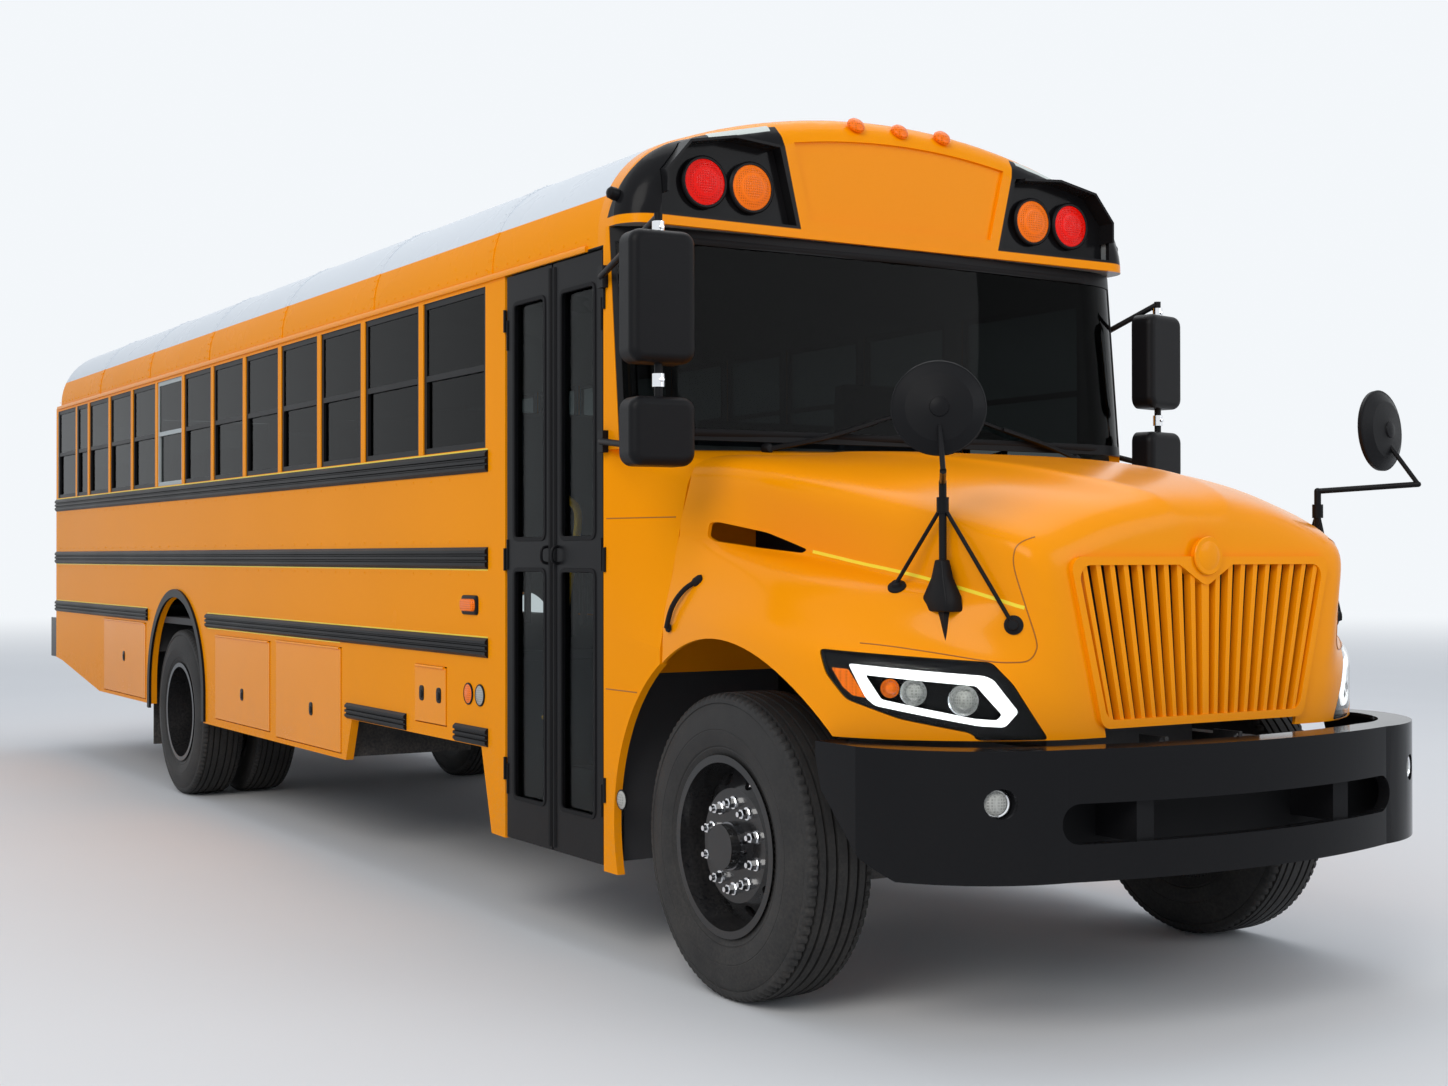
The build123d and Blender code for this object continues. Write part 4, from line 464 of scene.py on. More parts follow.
def settled(piece):
    """A piece's modifiers worked into its mesh."""
    bpy.context.view_layer.update()
    evaluated = piece.evaluated_get(bpy.context.evaluated_depsgraph_get())
    mesh = bpy.data.meshes.new_from_object(evaluated)
    piece.modifiers.clear()
    piece.data = mesh
    return piece


def grown(name, places, tree, body, facings, **inputs):
    """Run a geometry tree over a mesh of bare points; the result rides on a body."""
    seed = bpy.data.meshes.new(name + "_places")
    seed.from_pydata([tuple(p) for p in places], [], [])
    facing = seed.attributes.new("facing", "FLOAT_VECTOR", "POINT")
    facing.data.foreach_set("vector", [c for f in facings for c in f])
    piece = bpy.data.objects.new(name, seed)
    bpy.context.scene.collection.objects.link(piece)
    modifier = piece.modifiers.new("grow", "NODES")
    modifier.node_group = tree
    for item in tree.interface.items_tree:
        label = item.name.replace(" ", "_")
        if item.item_type == "SOCKET" and item.in_out == "INPUT" and label in inputs:
            modifier[item.identifier] = inputs[label]
    settled(piece)
    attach(piece, body)
    return piece


def wheel_fittings(name, body, x, y, side, stand):
    """Nuts, studs and a stepped hub cap on a wheel whose disc faces outward at y."""
    turns = [2 * pi * (i + 0.5) / NUTS for i in range(NUTS)]
    ring = [(x + NUT_CIRCLE_R * cos(a), side * y, AXLE_HEIGHT + NUT_CIRCLE_R * sin(a))
            for a in turns]
    for label, radius, low, tall, sides, share in (("washers", 0.023, 0.000, 0.006, 20, 0.94),
                                                   ("nuts", 0.0185, 0.006, 0.022, 6, 0.92),
                                                   ("studs", 0.011, 0.028, 0.014, 12, 0.8)):
        spots = [(a, b + side * low, c) for a, b, c in ring]
        made = grown(f"{name}_{label}", spots, FASTENER_HEADS, body, [(0, side, 0)] * NUTS,
                     Sides=sides, Head_Radius=radius, Top_Share=share, Head_Height=tall,
                     Finish=chrome)
    steps = [(0.0, 0.0), (0.0, 0.082), (stand * 0.45, 0.080), (stand * 0.5, 0.062),
             (stand * 0.86, 0.058), (stand, 0.048), (stand, 0.0)]
    points, faces = lathe(steps, 40)
    cap = mesh_piece(f"{name}_hub_cap", points, faces, dark_chrome, 35)
    outward(cap)
    placed(cap, x, side * y, AXLE_HEIGHT, mirror=side < 0)
    outward(cap)
    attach(cap, body)


for word, side in (("left", 1), ("right", -1)):
    wheel_fittings(f"front_{word}", f"wheel_front_{word}", AXLE_FRONT_X, FRONT_DISC_Y, side,
                   FRONT_CAP_STAND)
    wheel_fittings(f"rear_{word}", f"wheels_rear_{word}", AXLE_REAR_X, REAR_DISC_Y, side,
                   REAR_CAP_STAND)

# Body shell: yellow-orange enamel on steel sheets over the walls, cap, cowl and nose, with the roof
# sprayed white above its edge, that white tinted faintly blue as painted reflection of the sky, and
# a grey lining inside, darkened as painted shade of the cabin. Rivets hold the sheets to posts and
# roof bows, and drip rails run along both eaves.
ENAMEL = (0.96, 0.315, 0.001)
# the roof's white carries a faint blue: painted reflection of the sky
SKY_TINTED_WHITE = (0.70, 0.74, 0.78)
# the lining is darkened to grey: its own colour and painted shade of the cabin
SHADED_LINING = (0.20, 0.21, 0.21)
WHITE_FROM_Z = 2.80
BLACK_GLOSS = (0.010, 0.010, 0.011)
BODY_HALF = 1.219
BODY_REAR_X = -5.40
EAVE_Z = 2.612
DRIP_FRONT_X = 3.46
DRIP_RAIL = [(-0.011, 0), (0.011, 0), (0.011, 0.010), (0.005, 0.013), (-0.005, 0.013),
             (-0.011, 0.010)]
ROOF_SPRING_Z = 2.640
ROOF_TOP_Z = 3.150
ROOF_CORNER_R = 0.3996
BOW_SEAMS_X = [2.60, 1.28, -0.04, -1.36, -2.68, -4.00]
SEAM_TALL = 0.0035
# the cabin: its middle line from x to x at one height, its floor and its front end
CABIN_LINE = (-4.5, 3.0, 2.2)
CABIN_FLOOR_Z = 1.10
CABIN_FRONT_X = 3.76
# rivets: head radius, heights of the rows on the walls, row under the eaves, and how far forward
# the rows go on the entrance side and on the driver's side
RIVET_R = 0.0055
WALL_RIVETS_Z = (1.395, 1.535, 1.800)
EAVE_RIVETS_Z = 2.650
WALL_RIVETS_END_X = {-1: 2.55, 1: 3.5}


def axes(tree):
    """The coordinates of a surface point, as three sockets."""
    return put(tree, "ShaderNodeSeparateXYZ", Vector=object_spot(tree)).outputs


def above(tree, value, limit, soft=0.0015):
    """1 where a value is over a limit, 0 below it."""
    return put(tree, "ShaderNodeMapRange", Value=sums(tree, "SUBTRACT", value, limit),
               From_Min=-soft, From_Max=soft).outputs[0]


def negative(tree, value):
    """A value with its sign turned."""
    return sums(tree, "MULTIPLY", value, -1.0)


def between(tree, value, low, high):
    """1 where a value lies between two limits."""
    return sums(tree, "MULTIPLY", above(tree, value, low),
                above(tree, negative(tree, value), -high))


def laid_over(tree, ground, mask, colour):
    """One colour laid over another where a mask is 1."""
    return blend(tree, mask, ground, (*colour, 1))


def inside_mask(tree):
    """1 on faces that look towards the middle of the cabin."""
    x, y, z = axes(tree)
    facing = put(tree, "ShaderNodeTexCoord").outputs["Normal"]
    rear, front, height = CABIN_LINE
    nearest = sums(tree, "MINIMUM", sums(tree, "MAXIMUM", x, rear), front)
    middle = put(tree, "ShaderNodeCombineXYZ", X=nearest, Z=height)
    spot = put(tree, "ShaderNodeCombineXYZ", X=x, Y=y, Z=z).outputs[0]
    away = put(tree, "ShaderNodeVectorMath", {"operation": "SUBTRACT"}, _0=spot,
               _1=middle.outputs[0]).outputs[0]
    along = put(tree, "ShaderNodeVectorMath", {"operation": "DOT_PRODUCT"}, _0=facing,
                _1=away).outputs["Value"]
    cabin = sums(tree, "MULTIPLY", above(tree, z, CABIN_FLOOR_Z),
                 above(tree, negative(tree, x), -CABIN_FRONT_X))
    return sums(tree, "MULTIPLY", above(tree, negative(tree, along), 0.05, 0.01), cabin)


def enamel_colour(tree):
    """Yellow-orange, a shade uneven from sheet to sheet."""
    spot = object_spot(tree)
    patch = put(tree, "ShaderNodeTexNoise", Vector=spot, Scale=0.8, Detail=2.0).outputs["Fac"]
    return blend(tree, patch, (*[c * 0.94 for c in ENAMEL], 1),
                 (*[min(1, c * 1.05) for c in ENAMEL], 1))


def wall_colour(tree):
    """Enamel outside, and a lining inside that is darkened as painted shade of the cabin."""
    return laid_over(tree, enamel_colour(tree), inside_mask(tree), SHADED_LINING)


def roof_colour(tree):
    """White above a masked edge, tinted faintly blue as painted reflection of the sky, and yellow
    below it; a lining inside, darkened as painted shade.
    """
    painted = laid_over(tree, enamel_colour(tree), above(tree, axes(tree)["Z"], WHITE_FROM_Z),
                        SKY_TINTED_WHITE)
    return laid_over(tree, painted, inside_mask(tree), SHADED_LINING)


body_enamel = finish("body_enamel", enamel_colour, 0.22, grain=140, bump=0.03, film=0.16,
                     film_top=1.1, coat=0.05, gleam=0.10)
wall_enamel = finish("wall_enamel", wall_colour, 0.24, grain=140, bump=0.03, film=0.18,
                     film_top=1.1, coat=0.02, gleam=0.02)
roof_enamel = finish("roof_enamel", roof_colour, 0.28, grain=140, bump=0.03, film=0.0, coat=0.02,
                     gleam=0.02)
gloss_black = finish("gloss_black", BLACK_GLOSS, 0.14, grain=140, bump=0.03, film=0.02,
                     film_top=1.0, coat=0.02, gleam=0.06)
satin_black = finish("satin_black", (0.007, 0.007, 0.008), 0.36, grain=260, bump=0.12, film=0.04,
                     film_top=1.0, gleam=0.1)
frame_black = finish("frame_black", (0.007, 0.007, 0.008), 0.34, grain=300, bump=0.1, film=0.04,
                     film_top=1.0, gleam=0.1)
seal_rubber = finish("seal_rubber", (0.008, 0.008, 0.009), 0.7, grain=300, bump=0.2, film=0.0,
                     gleam=0.15)
paint(body_enamel, "luggage_door_front", "luggage_door_middle", "luggage_door_rear", "battery_door")
paint(wall_enamel, "side_wall_right", "side_wall_left", "rear_wall", "cowl", "emergency_door")
paint(roof_enamel, "roof_shell", "roof_hatch_front", "roof_hatch_rear")
paint(satin_black, "side_trim")


def swept(name, path, section, ups, material, closed=False, smooth=35):
    """A section of (sideways, up) points carried along a path, with its up direction given."""
    path = [Vector(p) for p in path]
    one = isinstance(ups[0], (int, float))
    ups = [Vector(ups)] * len(path) if one else [Vector(u) for u in ups]
    points, faces = [], []
    for i, here in enumerate(path):
        before = path[i - 1] if i or closed else here
        after = path[(i + 1) % len(path)] if i < len(path) - 1 or closed else here
        along = (after - before).normalized()
        across = along.cross(ups[i]).normalized()
        points += [here + across * a + across.cross(along) * b for a, b in section]
    n = len(section)
    for i in range(len(path) if closed else len(path) - 1):
        a, b = i * n, (i + 1) % len(path) * n
        faces += [(a + k, a + (k + 1) % n, b + (k + 1) % n, b + k) for k in range(n)]
    if not closed:
        faces += [tuple(range(n))[::-1], tuple(range(len(points) - n, len(points)))]
    return outward(mesh_piece(name, points, faces, material, smooth))


def strip_section(wide, tall, edge=0.3):
    """A flat strip's section with its upper edges taken off; it stands on its path."""
    soft = tall * edge
    return [(-wide / 2, 0), (wide / 2, 0), (wide / 2, tall - soft), (wide / 2 - soft, tall),
            (-wide / 2 + soft, tall), (-wide / 2, tall - soft)]


def round_section(radius, sides=10):
    """A round bar's section."""
    return [(radius * cos(2 * pi * k / sides), radius * sin(2 * pi * k / sides))
            for k in range(sides)]


def fitted(piece, body):
    """A piece rides on a body."""
    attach(piece, body)
    return piece


def roof_line(steps=12):
    """Points and outward directions of the roof's section from the right eave to the left one."""
    corner = ROOF_CORNER_R
    wide = BODY_HALF - corner
    tilt = 2 * atan2(ROOF_TOP_Z - ROOF_SPRING_Z - corner, wide)
    crown = Vector((wide + corner * sin(tilt), ROOF_SPRING_Z + corner * cos(tilt)))
    radius = crown.x / sin(tilt)
    line = [((BODY_HALF, EAVE_Z), (1, 0))]
    for k in range(steps + 1):
        turn = (pi / 2 - tilt) * k / steps
        line.append(((wide + corner * cos(turn), ROOF_SPRING_Z + corner * sin(turn)),
                     (cos(turn), sin(turn))))
    for k in range(1, steps + 1):
        turn = tilt * (1 - k / steps)
        line.append(((radius * sin(turn), ROOF_TOP_Z - radius * (1 - cos(turn))),
                     (sin(turn), cos(turn))))
    right = [((-y, z), (-a, b)) for (y, z), (a, b) in line]
    return right + line[-2::-1]


ROOF_LINE = roof_line()
for index, x in enumerate(BOW_SEAMS_X):
    seam = swept(f"roof_seam_{index}", [(x, y, z) for (y, z), _ in ROOF_LINE],
                 strip_section(0.050, SEAM_TALL), [(0, a, b) for _, (a, b) in ROOF_LINE],
                 roof_enamel)
    fitted(seam, "chassis_and_body")
for word, side in (("right", -1), ("left", 1)):
    ends = [(x, side * BODY_HALF, EAVE_Z) for x in (BODY_REAR_X + 0.10, DRIP_FRONT_X)]
    rail = swept(f"drip_rail_{word}", ends, DRIP_RAIL, (0, side, 0), body_enamel)
    fitted(rail, "chassis_and_body")


def rivet_rows():
    """Places and facings of the rivets on each bow seam, above the eaves and on the walls."""
    found = []
    for x in BOW_SEAMS_X:
        for dx in (-0.014, 0.014):
            found += [((x + dx, y + a * SEAM_TALL, z + b * SEAM_TALL), (0, a, b))
                      for (y, z), (a, b) in ROOF_LINE[1:-1]]
    for side in (-1, 1):
        for k in range(88):
            x = BODY_REAR_X + 0.16 + 0.1 * k
            found.append(((x, side * BODY_HALF, EAVE_RIVETS_Z), (0, side, 0)))
        for k in range(40):
            x = BODY_REAR_X + 0.18 + 0.2 * k
            if x < WALL_RIVETS_END_X[side]:
                found += [((x, side * BODY_HALF, z), (0, side, 0)) for z in WALL_RIVETS_Z]
    return found


rivets = rivet_rows()
heads = grown("shell_rivets", [p for p, _ in rivets], FASTENER_HEADS, "chassis_and_body",
              [f for _, f in rivets], Sides=8, Head_Radius=RIVET_R, Top_Share=0.5,
              Head_Height=0.0026, Finish=roof_enamel)

# Front cap: a moulded hood over the windshield with two black corners that hold the warning
# lamps. Three small marker lamps sit along its brow and a black one stands out on each side.
CAP_FRONT_X = 3.780
CAP_LAMP_Z = 2.845
CAP_LENS_X = AXLE_FRONT_X - 0.606 + 0.012
REAR_LENS_X = BODY_REAR_X - 0.002
REAR_LAMPS_Z = 2.720
LAMP_R = 0.089
SMALL_LAMP_R = 0.070
BROW_Z = 3.130
# the black corners start above this height; the others are straight lines (at, level, rise)
CORNER_FROM_Z = 2.705
CORNER_EDGE = (2.706, 0.48, 0.238)
CORNER_START = (2.71, 3.605, 0.346)
WHITE_STRIP = (0.59, -3.082, 0.222)
WHITE_STRIP_HALF = 0.012
WHITE_STRIP_Y = (0.60, 0.86)
WHITE_STRIP_FROM_X = 3.70


def sloped(tree, value, at, level, rise):
    """A straight line over a value: it passes a level at one place and rises from there."""
    made = sums(tree, "MULTIPLY_ADD", value, rise)
    made.node.inputs[2].default_value = level - at * rise
    return made


def cap_colour(tree):
    """Enamel with black corners, a white strip over each and a lining inside, darkened as painted
    shade.
    """
    x, y, z = axes(tree)
    across = sums(tree, "ABSOLUTE", y)
    past_edge = sums(tree, "SUBTRACT", across, sloped(tree, z, *CORNER_EDGE))
    past_start = sums(tree, "SUBTRACT", x, sloped(tree, z, *CORNER_START))
    black = sums(tree, "MULTIPLY", above(tree, past_edge, 0.0), above(tree, z, CORNER_FROM_Z))
    black = sums(tree, "MULTIPLY", black, above(tree, past_start, 0.0))
    ground = laid_over(tree, enamel_colour(tree), black, BLACK_GLOSS)
    off = sums(tree, "ABSOLUTE", sums(tree, "ADD", z, sloped(tree, across, *WHITE_STRIP)))
    strip = sums(tree, "MULTIPLY", above(tree, negative(tree, off), -WHITE_STRIP_HALF),
                 between(tree, across, *WHITE_STRIP_Y))
    strip = sums(tree, "MULTIPLY", strip, above(tree, x, WHITE_STRIP_FROM_X))
    ground = laid_over(tree, ground, strip, (0.62, 0.66, 0.62))
    return laid_over(tree, ground, inside_mask(tree), SHADED_LINING)


cap_enamel = finish("cap_enamel", cap_colour, 0.22, grain=140, bump=0.03, film=0.0, coat=0.03,
                    gleam=0.06)
paint(cap_enamel, "front_cap")
paint(gloss_black, "lamp_panels_front")


def lens_material(name, colour, glow):
    """A coloured moulded lens with fine prisms in its back, and a faint painted glow that brightens
    its colour.
    """
    material, tree, shader = new_material(name)
    spot = object_spot(tree)
    prisms = put(tree, "ShaderNodeTexVoronoi", {"feature": "F1", "distance": "CHEBYCHEV"},
                 Vector=spot, Scale=110.0, Randomness=0.0).outputs["Distance"]
    mottle = put(tree, "ShaderNodeMapRange", Value=prisms, From_Max=0.6, To_Min=0.45,
                 To_Max=1.1).outputs[0]
    tone = blend(tree, 1.0, (*colour, 1), grey_of(tree, mottle), "MULTIPLY")
    tree.links.new(tone, shader.inputs["Base Color"])
    tree.links.new(tone, shader.inputs["Emission Color"])
    shader.inputs["Emission Strength"].default_value = glow
    shader.inputs["Roughness"].default_value = 0.16
    shader.inputs["Specular IOR Level"].default_value = 0.2
    relief = put(tree, "ShaderNodeBump", Strength=0.7, Distance=0.003, Height=prisms)
    tree.links.new(relief.outputs[0], shader.inputs["Normal"])
    return material


# the red and amber lenses glow faintly: a painted glow that brightens their colour
red_lens = lens_material("red_lens", (0.80, 0.006, 0.002), 0.22)
amber_lens = lens_material("amber_lens", (0.90, 0.17, 0.002), 0.20)
clear_lens = lens_material("clear_lens", (0.46, 0.46, 0.43), 0.0)


def turned(name, profile, place, facing, around, material, smooth=35, bumps=None):
    """A profile of (out, radius) spun about a direction, standing at a place."""
    points, faces = lathe(profile, around, bumps)
    turn = Vector((0, 1, 0)).rotation_difference(Vector(facing)).to_matrix()
    points = [turn @ Vector(p) + Vector(place) for p in points]
    return outward(mesh_piece(name, points, faces, material, smooth))


def flutes(step, index):
    """Ribs that run from rim to middle of a lens."""
    return -0.0016 if step % 2 and 1 < index < 9 else 0.0


def round_lamp(name, place, facing, radius, material, body, bulge=0.22):
    """A domed lens with ribs and rings in a black rim."""
    rim = [(0.0, radius * 0.93), (0.0, radius * 1.10), (radius * 0.10, radius * 1.10),
           (radius * 0.15, radius * 1.04), (radius * 0.15, radius * 0.96), (0.0, radius * 0.93)]
    rim = turned(f"{name}_rim", rim, place, facing, 48, frame_black)
    dome = [(0.0, radius * 0.95)]
    for k in range(9):
        share = 0.95 - 0.1 * k
        level = radius * (0.10 + bulge * (1 - share * share))
        dome += [(level, radius * share), (level + radius * 0.012, radius * (share - 0.05))]
    dome.append((radius * (0.11 + bulge), 0.0))
    lens = turned(f"{name}_lens", dome, place, facing, 48, material, 60, flutes)
    return fitted(rim, body), fitted(lens, body)


def warning_lamps(name, places, material):
    """The rims and the lenses of all lamps of one colour, as two lists."""
    pairs = [round_lamp(f"{name}_{k}", place, facing, radius, material, "chassis_and_body") for k, (place, radius, facing) in enumerate(places)]
    return [rim for rim, _ in pairs], [lens for _, lens in pairs]


red_places = [((CAP_LENS_X, s * 0.890, CAP_LAMP_Z), LAMP_R, (1, 0, 0)) for s in (-1, 1)]
amber_places = [((CAP_LENS_X, s * 0.685, CAP_LAMP_Z), LAMP_R, (1, 0, 0)) for s in (-1, 1)]
for s in (-1, 1):
    red_places += [((REAR_LENS_X, s * y, z), radius, (-1, 0, 0))
                   for y, z, radius in ((1.0, 1.330, SMALL_LAMP_R), (0.8, 1.640, LAMP_R),
                                        (0.9, REAR_LAMPS_Z, LAMP_R))]
    amber_places += [((REAR_LENS_X, s * y, z), radius, (-1, 0, 0))
                     for y, z, radius in ((1.0, 1.150, SMALL_LAMP_R), (0.69, REAR_LAMPS_Z, LAMP_R))]
for name, places, material, slot in (("red_lamp", red_places, red_lens, "lamp_red"),
                                     ("amber_lamp", amber_places, amber_lens, "lamp_amber")):
    rims, lenses = warning_lamps(name, places, material)
    rims = fitted(joined(f"{name}_rims", rims), "chassis_and_body")
    lenses = fitted(joined(f"{name}_lenses", lenses), "chassis_and_body")
    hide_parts(f"{name}s")

marker = [(0.0, 0.0), (0.0, 0.036), (0.010, 0.036), (0.020, 0.028), (0.025, 0.014), (0.026, 0.0)]
for index, y in enumerate((-0.21, 0.0, 0.21)):
    lamp = turned(f"marker_{index}", marker, (CAP_FRONT_X - 0.025, y, BROW_Z), (0.75, 0, 0.66), 28,
                  amber_lens)
    fitted(lamp, "chassis_and_body")
knob = [(0.0, 0.0), (0.0, 0.022), (0.014, 0.024), (0.034, 0.022), (0.042, 0.012), (0.044, 0.0)]
for word, side in (("right", -1), ("left", 1)):
    marker = turned(f"side_marker_{word}", knob, (3.656, side * 1.200, 2.782), (0, side, 0.25), 24,
                    satin_black)
    fitted(marker, "chassis_and_body")

# Hood: one moulded shell of bonnet and both fenders, about 12 mm thick, that tilts forward on its
# hinge. Its skin is drawn by a net of control points, one row for each station along the bus,
# then thickened and cut for the grille, the headlamps, the vent slots and the wheel arches.
HOOD_SKIN = 0.012
HOOD_MIDDLE = Vector((4.2, 0, 1.0))
ARCH_R = 0.680
ARCH_Z = 0.520
# station, crown z, then y and z of panel edge, shoulder, seam, fender ridge, fender side and foot
HOOD_NET = [
    (-0.350, 1.850, (0.470, 1.846), (1.085, 1.790), (1.133, 1.545),
     (1.166, 1.395), (1.206, 1.190), (1.212, 0.925)),
    (-0.140, 1.842, (0.450, 1.838), (1.060, 1.775), (1.030, 1.520),
     (1.152, 1.385), (1.216, 1.190), (1.212, 0.925)),
    (0.080, 1.822, (0.420, 1.820), (1.020, 1.735), (0.955, 1.490),
     (1.140, 1.355), (1.222, 1.180), (1.208, 0.925)),
    (0.300, 1.796, (0.380, 1.796), (0.955, 1.690), (0.915, 1.455),
     (1.120, 1.310), (1.205, 1.160), (1.190, 0.920)),
    (0.500, 1.766, (0.330, 1.768), (0.900, 1.645), (0.875, 1.420),
     (1.060, 1.265), (1.165, 1.130), (1.150, 0.918)),
    (0.680, 1.732, (0.280, 1.735), (0.835, 1.600), (0.820, 1.385),
     (0.960, 1.225), (1.070, 1.100), (1.060, 0.916)),
    (0.820, 1.698, (0.220, 1.702), (0.775, 1.560), (0.765, 1.350),
     (0.840, 1.195), (0.935, 1.075), (0.930, 0.915)),
    (0.930, 1.662, (0.170, 1.668), (0.725, 1.520), (0.715, 1.325),
     (0.730, 1.170), (0.775, 1.055), (0.770, 0.915)),
    (0.985, 1.630, (0.140, 1.636), (0.690, 1.490), (0.675, 1.310),
     (0.655, 1.155), (0.665, 1.045), (0.650, 0.915)),
    (1.008, 1.590, (0.120, 1.592), (0.650, 1.455), (0.632, 1.300),
     (0.605, 1.140), (0.590, 1.040), (0.570, 0.915)),
    (1.012, 1.530, (0.110, 1.530), (0.600, 1.425), (0.575, 1.290),
     (0.540, 1.130), (0.515, 1.040), (0.490, 0.915)),
    (1.012, 1.440, (0.100, 1.440), (0.520, 1.400), (0.500, 1.280),
     (0.460, 1.120), (0.440, 1.040), (0.420, 0.915))]
GRILLE_OPENING = [(-0.440, 0.948), (0.440, 0.948), (0.562, 1.462), (0.118, 1.462), (0.0, 1.395),
                  (-0.118, 1.462), (-0.562, 1.462)]
# the slot in each flank and the pan behind it: x and z
VENT_SLOT = [(4.100, 1.588), (4.135, 1.590), (4.330, 1.552), (4.500, 1.494), (4.480, 1.482),
             (4.300, 1.500), (4.125, 1.524), (4.092, 1.540)]
VENT_PAN = [(4.06, 1.47), (4.53, 1.45), (4.53, 1.60), (4.06, 1.62)]
VENT_CUT_Y = 0.80
VENT_PAN_Y = 0.86
# places on the near side: the painted highlight line along the fender's shoulder, the seam round
# the nose, the rubber strap
FENDER_LINE = [(4.524, -0.937, 1.487), (4.733, -0.900, 1.450), (4.942, -0.847, 1.413),
               (5.138, -0.778, 1.365), (5.300, -0.702, 1.315)]
NOSE_LINE = [(5.295, -0.654, 1.530), (5.281, -0.701, 1.511), (5.274, -0.717, 1.485),
             (5.274, -0.717, 1.433), (5.299, -0.698, 1.326), (5.322, -0.673, 1.220),
             (5.318, -0.671, 1.184), (5.305, -0.687, 1.158), (5.284, -0.720, 1.151),
             (5.232, -0.791, 1.155), (5.115, -0.916, 1.181), (4.945, -1.054, 1.205)]
STRAP_LINE = [(4.045, 1.222, 1.226), (4.075, 1.216, 1.300), (4.115, 1.190, 1.360),
              (4.158, 1.146, 1.398)]
LAMP_OUTER = Vector((AXLE_FRONT_X + 0.400, -1.120, 0))
LAMP_INNER = Vector((AXLE_FRONT_X + 1.000, -0.600, 0))
LAMP_ALONG = (LAMP_INNER - LAMP_OUTER).normalized()
LAMP_OUT = Vector((LAMP_ALONG.y, -LAMP_ALONG.x, 0))
# along the lamp's face from its outer end, height
LAMP_OUTLINE = [(0.070, 1.186), (0.600, 1.150), (0.664, 1.085), (0.764, 0.917), (0.560, 0.917),
                (0.541, 0.940), (0.332, 0.980), (0.163, 1.034), (0.096, 1.110)]


def spline_weights(count, parts):
    """Rows of weights that turn control points into points of a cubic B-spline with kept ends."""
    rows = []
    for step in range((count - 1) * parts + 1):
        place = step / parts
        start = min(int(place), count - 2)
        t = place - start
        shares = ((1 - t) ** 3 / 6, (3 * t ** 3 - 6 * t * t + 4) / 6,
                  (-3 * t ** 3 + 3 * t * t + 3 * t + 1) / 6, t ** 3 / 6)
        row = np.zeros(count)
        for offset, share in zip((-1, 0, 1, 2), shares):
            index = start + offset
            if index < 0:
                row[0] += 2 * share
                row[1] -= share
            elif index > count - 1:
                row[-1] += 2 * share
                row[-2] -= share
            else:
                row[index] += share
        rows.append(row)
    return np.array(rows)


def hood_controls():
    """The net for one side: the columns run from the middle of the bonnet to the fender's foot."""
    net = []
    for x, crown, panel, shoulder, seam, ridge, side, foot in HOOD_NET:
        (py, pz), (sy, sz), (gy, gz), (ry, rz), (fy, fz) = panel, shoulder, seam, ridge, side
        step = min(0.012, (crown - 1.42) * 0.05)
        shelf, bulge = min(0.030, (ry - gy) * 0.2), min(0.020, (ry - gy) * 0.15)
        row = [(0, crown + step), (py * 0.6, crown + step), (py, pz + step), (py + 0.02, pz),
               (py + (sy - py) * 0.45, pz - (pz - sz) * 0.22), (sy - 0.12, sz + 0.045),
               (sy, sz + 0.012), (sy + (gy - sy) * 0.15, sz - 0.07), (gy + 0.004, gz + 0.05),
               (gy, gz), (gy + shelf, gz - shelf * 0.4),
               ((gy + ry) / 2 + bulge, (gz + rz) / 2 + bulge * 1.5), (ry, rz),
               (fy - 0.008, (rz + fz) / 2), (fy, fz), (foot[0], foot[1])]
        net.append([(AXLE_FRONT_X + x, y, z) for y, z in row])
    return np.array(net)


HOOD_CONTROLS = hood_controls()
hood_grid = np.einsum("ri,ijk,cj->rck", spline_weights(len(HOOD_NET), 8), HOOD_CONTROLS,
                      spline_weights(HOOD_CONTROLS.shape[1], 6))


FORWARD = Vector((1, 0, 0))
LEFTWARD = Vector((0, 1, 0))


def prism(outline, origin, along, out, near, far):
    """A closed block: an outline in (along, height) pushed from near to far along out."""
    loop = [origin + along * u + Vector((0, 0, z)) for u, z in outline]
    points = [p + out * near for p in loop] + [p + out * far for p in loop]
    count = len(loop)
    faces = [list(range(count))[::-1], list(range(count, 2 * count))]
    faces += [(i, (i + 1) % count, count + (i + 1) % count, count + i) for i in range(count)]
    return outward(mesh_piece("block", points, faces))


def rounded(outline, radius, steps=6):
    """An outline with its corners rounded by a quadratic arc."""
    found = []
    for i, here in enumerate(outline):
        here = Vector(here)
        before, after = Vector(outline[i - 1]), Vector(outline[(i + 1) % len(outline)])
        a = here + (before - here).normalized() * min(radius, (before - here).length * 0.45)
        b = here + (after - here).normalized() * min(radius, (after - here).length * 0.45)
        for step in range(steps + 1):
            t = step / steps
            found.append(tuple(a * (1 - t) ** 2 + here * 2 * t * (1 - t) + b * t * t))
    return found


def cut(piece, tool, operation="DIFFERENCE"):
    """Cut a mesh with a closed block, and drop the block."""
    modifier = piece.modifiers.new("cut", "BOOLEAN")
    modifier.operation = operation
    modifier.solver = "EXACT"
    modifier.object = tool
    settled(piece)
    bpy.data.objects.remove(tool)
    return piece


def thickened(piece, thickness):
    """A skin given its thickness inwards."""
    solid = piece.modifiers.new("thick", "SOLIDIFY")
    solid.thickness = thickness
    solid.offset = -1
    solid.use_even_offset = True
    return settled(piece)


def grid_faces(rows, columns, start=0, flip=False):
    """The faces of a net of points that are counted row by row."""
    faces = []
    for r in range(rows - 1):
        for c in range(columns - 1):
            a, b = start + r * columns + c, start + (r + 1) * columns + c
            faces.append((a, a + 1, b + 1, b) if flip else (a, b, b + 1, a + 1))
    return faces


